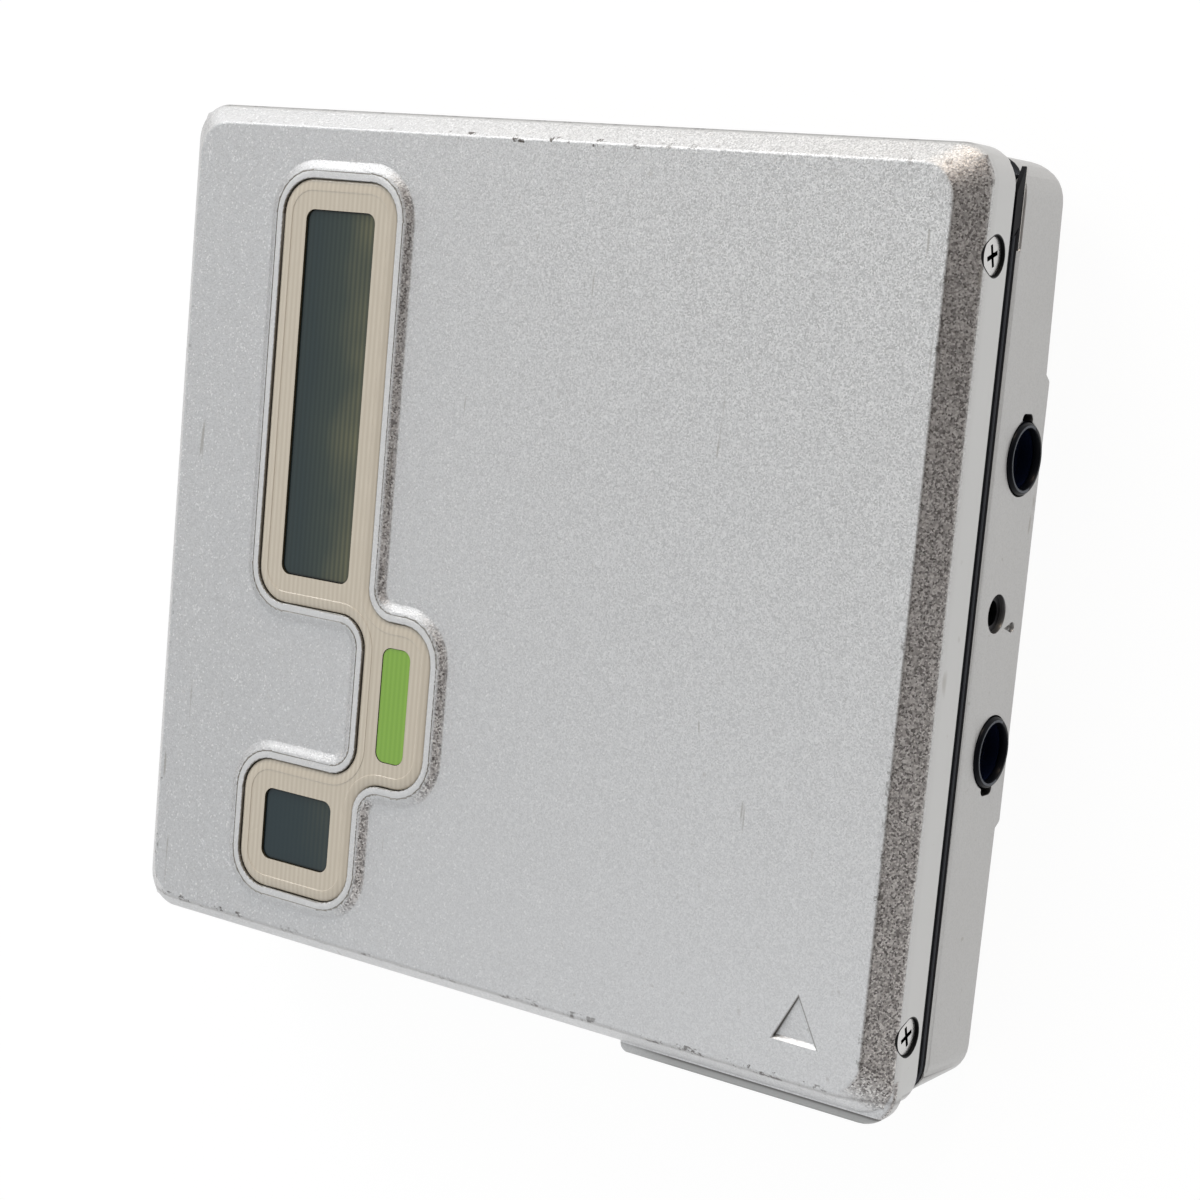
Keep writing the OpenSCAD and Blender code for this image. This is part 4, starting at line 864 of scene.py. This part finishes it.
# Seam strips: black mouldings let into the side walls between lid and base. A narrow step runs
# along the middle of each, with a painted highlight line on it.
step_z, step_half = 9.3, 0.13
seam, tree, shader, colour = smeared("seam_black", (0.001, 0.001, 0.002), (0.004, 0.004, 0.006),
                                     (0.3, 0.6), specular_ior_level=0.02)
# Painted highlight line along the strip's middle step.
step_highlight = near(tree, axes(tree)["Z"], step_z, step_half)
feed(tree, shader, base_color=blend(tree, step_highlight, colour, (0.12, 0.13, 0.15)))
dress(seam, "seam_strips")

# Hinge cheeks: black mouldings let into the side walls beside the hinge pins, with a bright
# plated lower edge.
bright_edge = 8.42
cheek, tree, shader, colour = smeared("cheek_black", (0.003, 0.003, 0.005), (0.010, 0.010, 0.013),
                                      (0.3, 0.6), specular_ior_level=0.08)
at_foot = calc(tree, "LESS_THAN", axes(tree)["Z"], bright_edge * MM)
feed(tree, shader, base_color=blend(tree, at_foot, colour, (0.80, 0.79, 0.77)))
dress(cheek, "hinge_cheeks")

# Clip bush: a steel bush coloured near black, with a thread inside, pressed into the right wall
# from within, where a clip can be screwed on.
dull = smeared("bush_steel", (0.03, 0.03, 0.033), (0.085, 0.085, 0.09), (0.3, 0.5), metallic=1.0)
dress(dull[0], "clip_bush")


# Black mouldings: the battery box, the pickup body and the chips on the boards, in black plastic
# with a fine moulded grain.
def clouded(name, scale, detail, dark, light, rough=None, **values):
    made, tree, shader = material(name, **values)
    cloud = noise(tree, scale, detail)
    feed(tree, shader, base_color=blend(tree, cloud, dark, light))
    if rough:
        feed(tree, shader, roughness=spread(tree, cloud, *rough))
    return made, tree, shader, cloud


black, tree, shader, cloud = clouded("moulded_black", 160.0, 3.0, (0.008, 0.009, 0.013),
                                     (0.024, 0.026, 0.034), (0.32, 0.6))
feed(tree, shader, normal=bump(tree, noise(tree, 3000.0, 3.0), 0.15, 0.04))
dress(black, "battery_box", "pickup", "board_chips")

# Sockets: blue-black mouldings for a headphone plug and a power plug, set behind round holes with
# a key notch in the right wall.
mouth = smeared("socket_blue_black", (0.002, 0.005, 0.020), (0.008, 0.014, 0.042), (0.25, 0.5),
                specular_ior_level=0.25)
dress(mouth[0], "headphone_socket", "power_socket")

# Socket collars: a black moulded ring with a rolled lip, pressed into the hole round each socket
# and a little proud of the wall. The upper side of its crest gets a grey painted highlight.
collar_r, collar_deep, collar_x = 2.83, 0.5, 38.75
crest_x, crest_r, highlight_down = 39.1, 2.56, 1.0
bpy.ops.mesh.primitive_cylinder_add(vertices=72, radius=collar_r, depth=collar_deep,
                                    location=(collar_x, 0, 0), rotation=across_x)
collar = bpy.context.object
bpy.ops.object.transform_apply()
mode("EDIT")
pick(collar, "FACE", facing(1, 0, 0))
step_in([(0.06, 0.16), (0.10, 0.10), (0.07, 0.03), (0.19, -0.02), (0.05, -0.08), (0.03, -0.45)])
bpy.ops.mesh.delete(type="FACE")
pick(collar, "FACE", facing(-1, 0, 0))
bpy.ops.mesh.delete(type="FACE")
pick(collar, "EDGE", lambda edge: edge.is_boundary)
bpy.ops.mesh.bridge_edge_loops()
outward()
mode("OBJECT")
ring_black, tree, shader, colour = smeared("collar_black", (0.002, 0.003, 0.005),
                                           (0.007, 0.008, 0.012), (0.22, 0.42),
                                           specular_ior_level=0.08)
# Painted highlight: the upper side of the crest is coloured grey.
feed(tree, shader, base_color=blend(tree, mark(tree, "crest_highlight"), colour, (0.12, 0.135, 0.16)))


# Marks the crest faces on the upper side for the painted highlight.
def crest_highlight_rule(p, n):
    on_crest = n.x > 0.9 and p.x > crest_x and socket_gap(p) < crest_r
    return float(on_crest and p.z > socket_z - highlight_down)


for y, name in zip(socket_y, ("headphone_collar", "power_collar")):
    ring = add_object(name, collar.data.copy())
    ring.data.transform(Matrix.Translation((0, y, socket_z)))
    to_size(ring)
    face_mark(ring, "crest_highlight", crest_highlight_rule)
    cover(ring, ring_black)
    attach(ring, "base")
bpy.data.objects.remove(collar)

# Dampers: soft rubber rings round the studs that carry the deck, dull black with a dusty bloom.
# They keep knocks away from the pickup.
soft, tree, shader, bloom = clouded("damper_rubber", 700.0, 4.0, (0.012, 0.012, 0.012),
                                    (0.05, 0.05, 0.05), roughness=0.8)
feed(tree, shader, normal=bump(tree, bloom, 0.2, 0.05))
dress(soft, "dampers")

# Circuit boards: glass laminate with copper tracks under green lacquer, and gilt holes that join
# the two faces. Tracks run one way in some zones and across it in others.
board, tree, shader = material("board_green")
tracks = [node(tree, "ShaderNodeTexBrick", {
    "Vector": place, "Scale": scale, "Mortar Size": 0.05, "Brick Width": 2.6, "Row Height": 0.22,
    "Color1": (0.012, 0.105, 0.045), "Color2": (0.016, 0.125, 0.05), "Mortar": (0.006, 0.055, 0.025),
}).outputs["Color"] for place, scale in (
    (object_place(tree), 300.0), (mapped(tree, rotation=(0, 0, math.pi / 2)), 260.0))]
zone = calc(tree, "GREATER_THAN", noise(tree, 150.0, 0.0), 0.5)
lacquer = blend(tree, zone, *tracks)
holes = node(tree, "ShaderNodeTexVoronoi", {
    "Vector": object_place(tree), "Scale": 420.0, "Randomness": 0.8}).outputs["Distance"]
blot = noise(tree, 240.0, 3.0)
gilt = times(tree, calc(tree, "LESS_THAN", holes, 0.16), calc(tree, "GREATER_THAN", blot, 0.5))
feed(tree, shader, base_color=blend(tree, gilt, lacquer, (0.62, 0.46, 0.16)), metallic=gilt,
     roughness=spread(tree, blot, 0.22, 0.45), normal=bump(tree, lacquer, 0.25, 0.03))
dress(board, "display_board", "main_board", "button_board")

# Chips on the main board: flat black packages on four rows of tinned legs, soldered to the
# upper face of the board.
board_top = 6.3
leg_width, leg_pitch, chip_high = 0.26, 0.65, 0.42
epoxy = smeared("chip_epoxy", (0.010, 0.010, 0.011), (0.026, 0.026, 0.028), (0.4, 0.65))[0]
tinned = smeared("tinned", (0.55, 0.55, 0.55), (0.78, 0.78, 0.77), (0.22, 0.42), metallic=1.0)[0]


def brick(name, x, y, size, edge, steps=2):
    w, d, h = size
    piece = block(name, (x - w / 2, y - d / 2, board_top - 0.02), (x + w / 2, y + d / 2, board_top + h))
    mode("EDIT")
    round_edges(piece, lambda e: upright(e) or level(board_top + h)(e), edge, steps)
    mode("OBJECT")
    return piece


leg = block("leg", (-0.05, -leg_width / 2, board_top + 0.14), (0.2, leg_width / 2, board_top + 0.24))
mode("EDIT")
pick(leg, "FACE", facing(1, 0, 0))
pull(0.2, 0, -0.15)
pull(0.3, 0, 0)
mode("OBJECT")
leg.data.materials.append(tinned)
for name, x, y, side, legs in (("signal_chip", 21.5, 19.5, 9.0, 12), ("memory_chip", 17.0, 2.0, 6.0, 8),
                               ("driver_chip", 29.0, 3.5, 4.6, 6)):
    chip = brick(name, x, y, (side, side, chip_high), 0.1)
    chip.data.materials.append(epoxy)
    pieces = [chip]
    for quarter in range(4):
        for k in range(legs):
            one = add_object("leg_copy", leg.data.copy())
            one.data.transform(Matrix.Translation((x, y, 0))
                               @ Matrix.Rotation(quarter * math.pi / 2, 4, "Z")
                               @ Matrix.Translation((side / 2, (k - (legs - 1) / 2) * leg_pitch, 0)))
            pieces.append(one)
    alone(chip)
    for one in pieces:
        one.select_set(True)
    bpy.ops.object.join()
    to_size(chip)
    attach(chip, "base")
bpy.data.objects.remove(leg)

# Chip resistors: small ceramic bricks with tinned ends, soldered in rows between the chips. One is
# modelled and copied to every place.
ceramic, tree, shader = material("resistor_ceramic", roughness=0.45)
feed(tree, shader, base_color=blend(tree, group(tree, grime)["Smears"], (0.05, 0.035, 0.022),
                                    (0.13, 0.10, 0.07)))
tin_from = 0.52
resistor = brick("resistor", 0, 0, (1.7, 0.9, 0.4), 0.06)
mode("EDIT")
for cut in (-tin_from, tin_from):
    bpy.ops.mesh.select_all(action="SELECT")
    bpy.ops.mesh.bisect(plane_co=(cut, 0, board_top), plane_no=(1, 0, 0))
mode("OBJECT")
cover(resistor, ceramic, tinned)
for face in resistor.data.polygons:
    face.material_index = 1 if abs(face.center.x) > tin_from else 0
places = ([(13.0 + 2.4 * i, 10.2, 90) for i in range(6)] + [(24.5, -4.0 + 1.8 * i, 0) for i in range(5)]
          + [(31.5, 14 + 1.9 * i, 0) for i in range(6)])
for i, (x, y, turn) in enumerate(places):
    one = add_object(f"resistor_{i + 1}", resistor.data.copy())
    one.data.transform(Matrix.Translation((x, y, 0)) @ Matrix.Rotation(math.radians(turn), 4, "Z"))
    to_size(one)
    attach(one, "base")
bpy.data.objects.remove(resistor)

# Crystal and ribbon socket: a plated can that times the signals, and a cream plastic socket with
# a slot for the flat cable of the lid. Both are soldered to the main board.
crystal = brick("crystal", 29.5, -6.5, (5.0, 2.0, 0.45), 0.22, 4)
crystal.data.materials.append(tinned)
to_size(crystal)
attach(crystal, "base")
ribbon = brick("ribbon_socket", 18.0, 27.6, (11.0, 2.4, 0.45), 0.1)
mode("EDIT")
pick(ribbon, "FACE", facing(0, 0, 1))
step_in([(0.5, 0), (0.05, -0.3)])
mode("OBJECT")
cream = smeared("socket_cream", (0.50, 0.46, 0.37), (0.66, 0.63, 0.54), (0.3, 0.55))[0]
ribbon.data.materials.append(cream)
to_size(ribbon)
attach(ribbon, "base")

# Panel on the battery box: a thin black moulded cover with a sunk field and rounded corners,
# pressed on the top of the box.
panel = block("battery_panel", (-31.5, -32.0, 6.48), (22.3, -17.8, 6.62))
mode("EDIT")
round_edges(panel, upright, 3.4, 8)
pick(panel, "FACE", facing(0, 0, 1))
step_in([(0.1, 0.06), (1.2, 0.0), (0.12, -0.1), (1.0, 0.0), (0.1, 0.08)])
mode("OBJECT")
panel.data.materials.append(black)
to_size(panel)
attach(panel, "base")

# Brass: the turned studs under the deck, the pressed battery contacts and the centre pin of the
# power socket, all a little tarnished.
brass = clouded("brass", 420.0, 4.0, (0.42, 0.29, 0.10), (0.78, 0.60, 0.26), (0.2, 0.45),
                metallic=1.0)
dress(brass[0], "power_pin", "battery_contacts", "deck_studs")

# Gears: the drive gear and the pinion on the motor shaft, moulded in white nylon that is slightly
# yellowed and greasy in places.
nylon = clouded("gear_nylon", 500.0, 3.0, (0.60, 0.57, 0.49), (0.78, 0.77, 0.72), (0.2, 0.5))
dress(nylon[0], "drive_gear", "motor_pinion")

# Objective lens: a small moulded lens in the top of the pickup, with a coating that looks violet.
# It floats on springs to follow the disc.
coated = clouded("coated_lens", 500.0, 1.0, (0.07, 0.06, 0.24), (0.30, 0.14, 0.36),
                 roughness=0.06, coat_weight=1.0, coat_roughness=0.03)
dress(coated[0], "objective_lens")

# Battery: a flat rechargeable pack in a grey plastic sleeve with a faint shrink grain, slid into
# its box from the side.
sleeve, tree, shader, shrink = clouded("battery_sleeve", 300.0, 4.0, (0.16, 0.17, 0.20),
                                       (0.26, 0.28, 0.31), (0.28, 0.5))
feed(tree, shader, normal=bump(tree, shrink, 0.15, 0.06))
dress(sleeve, "battery")
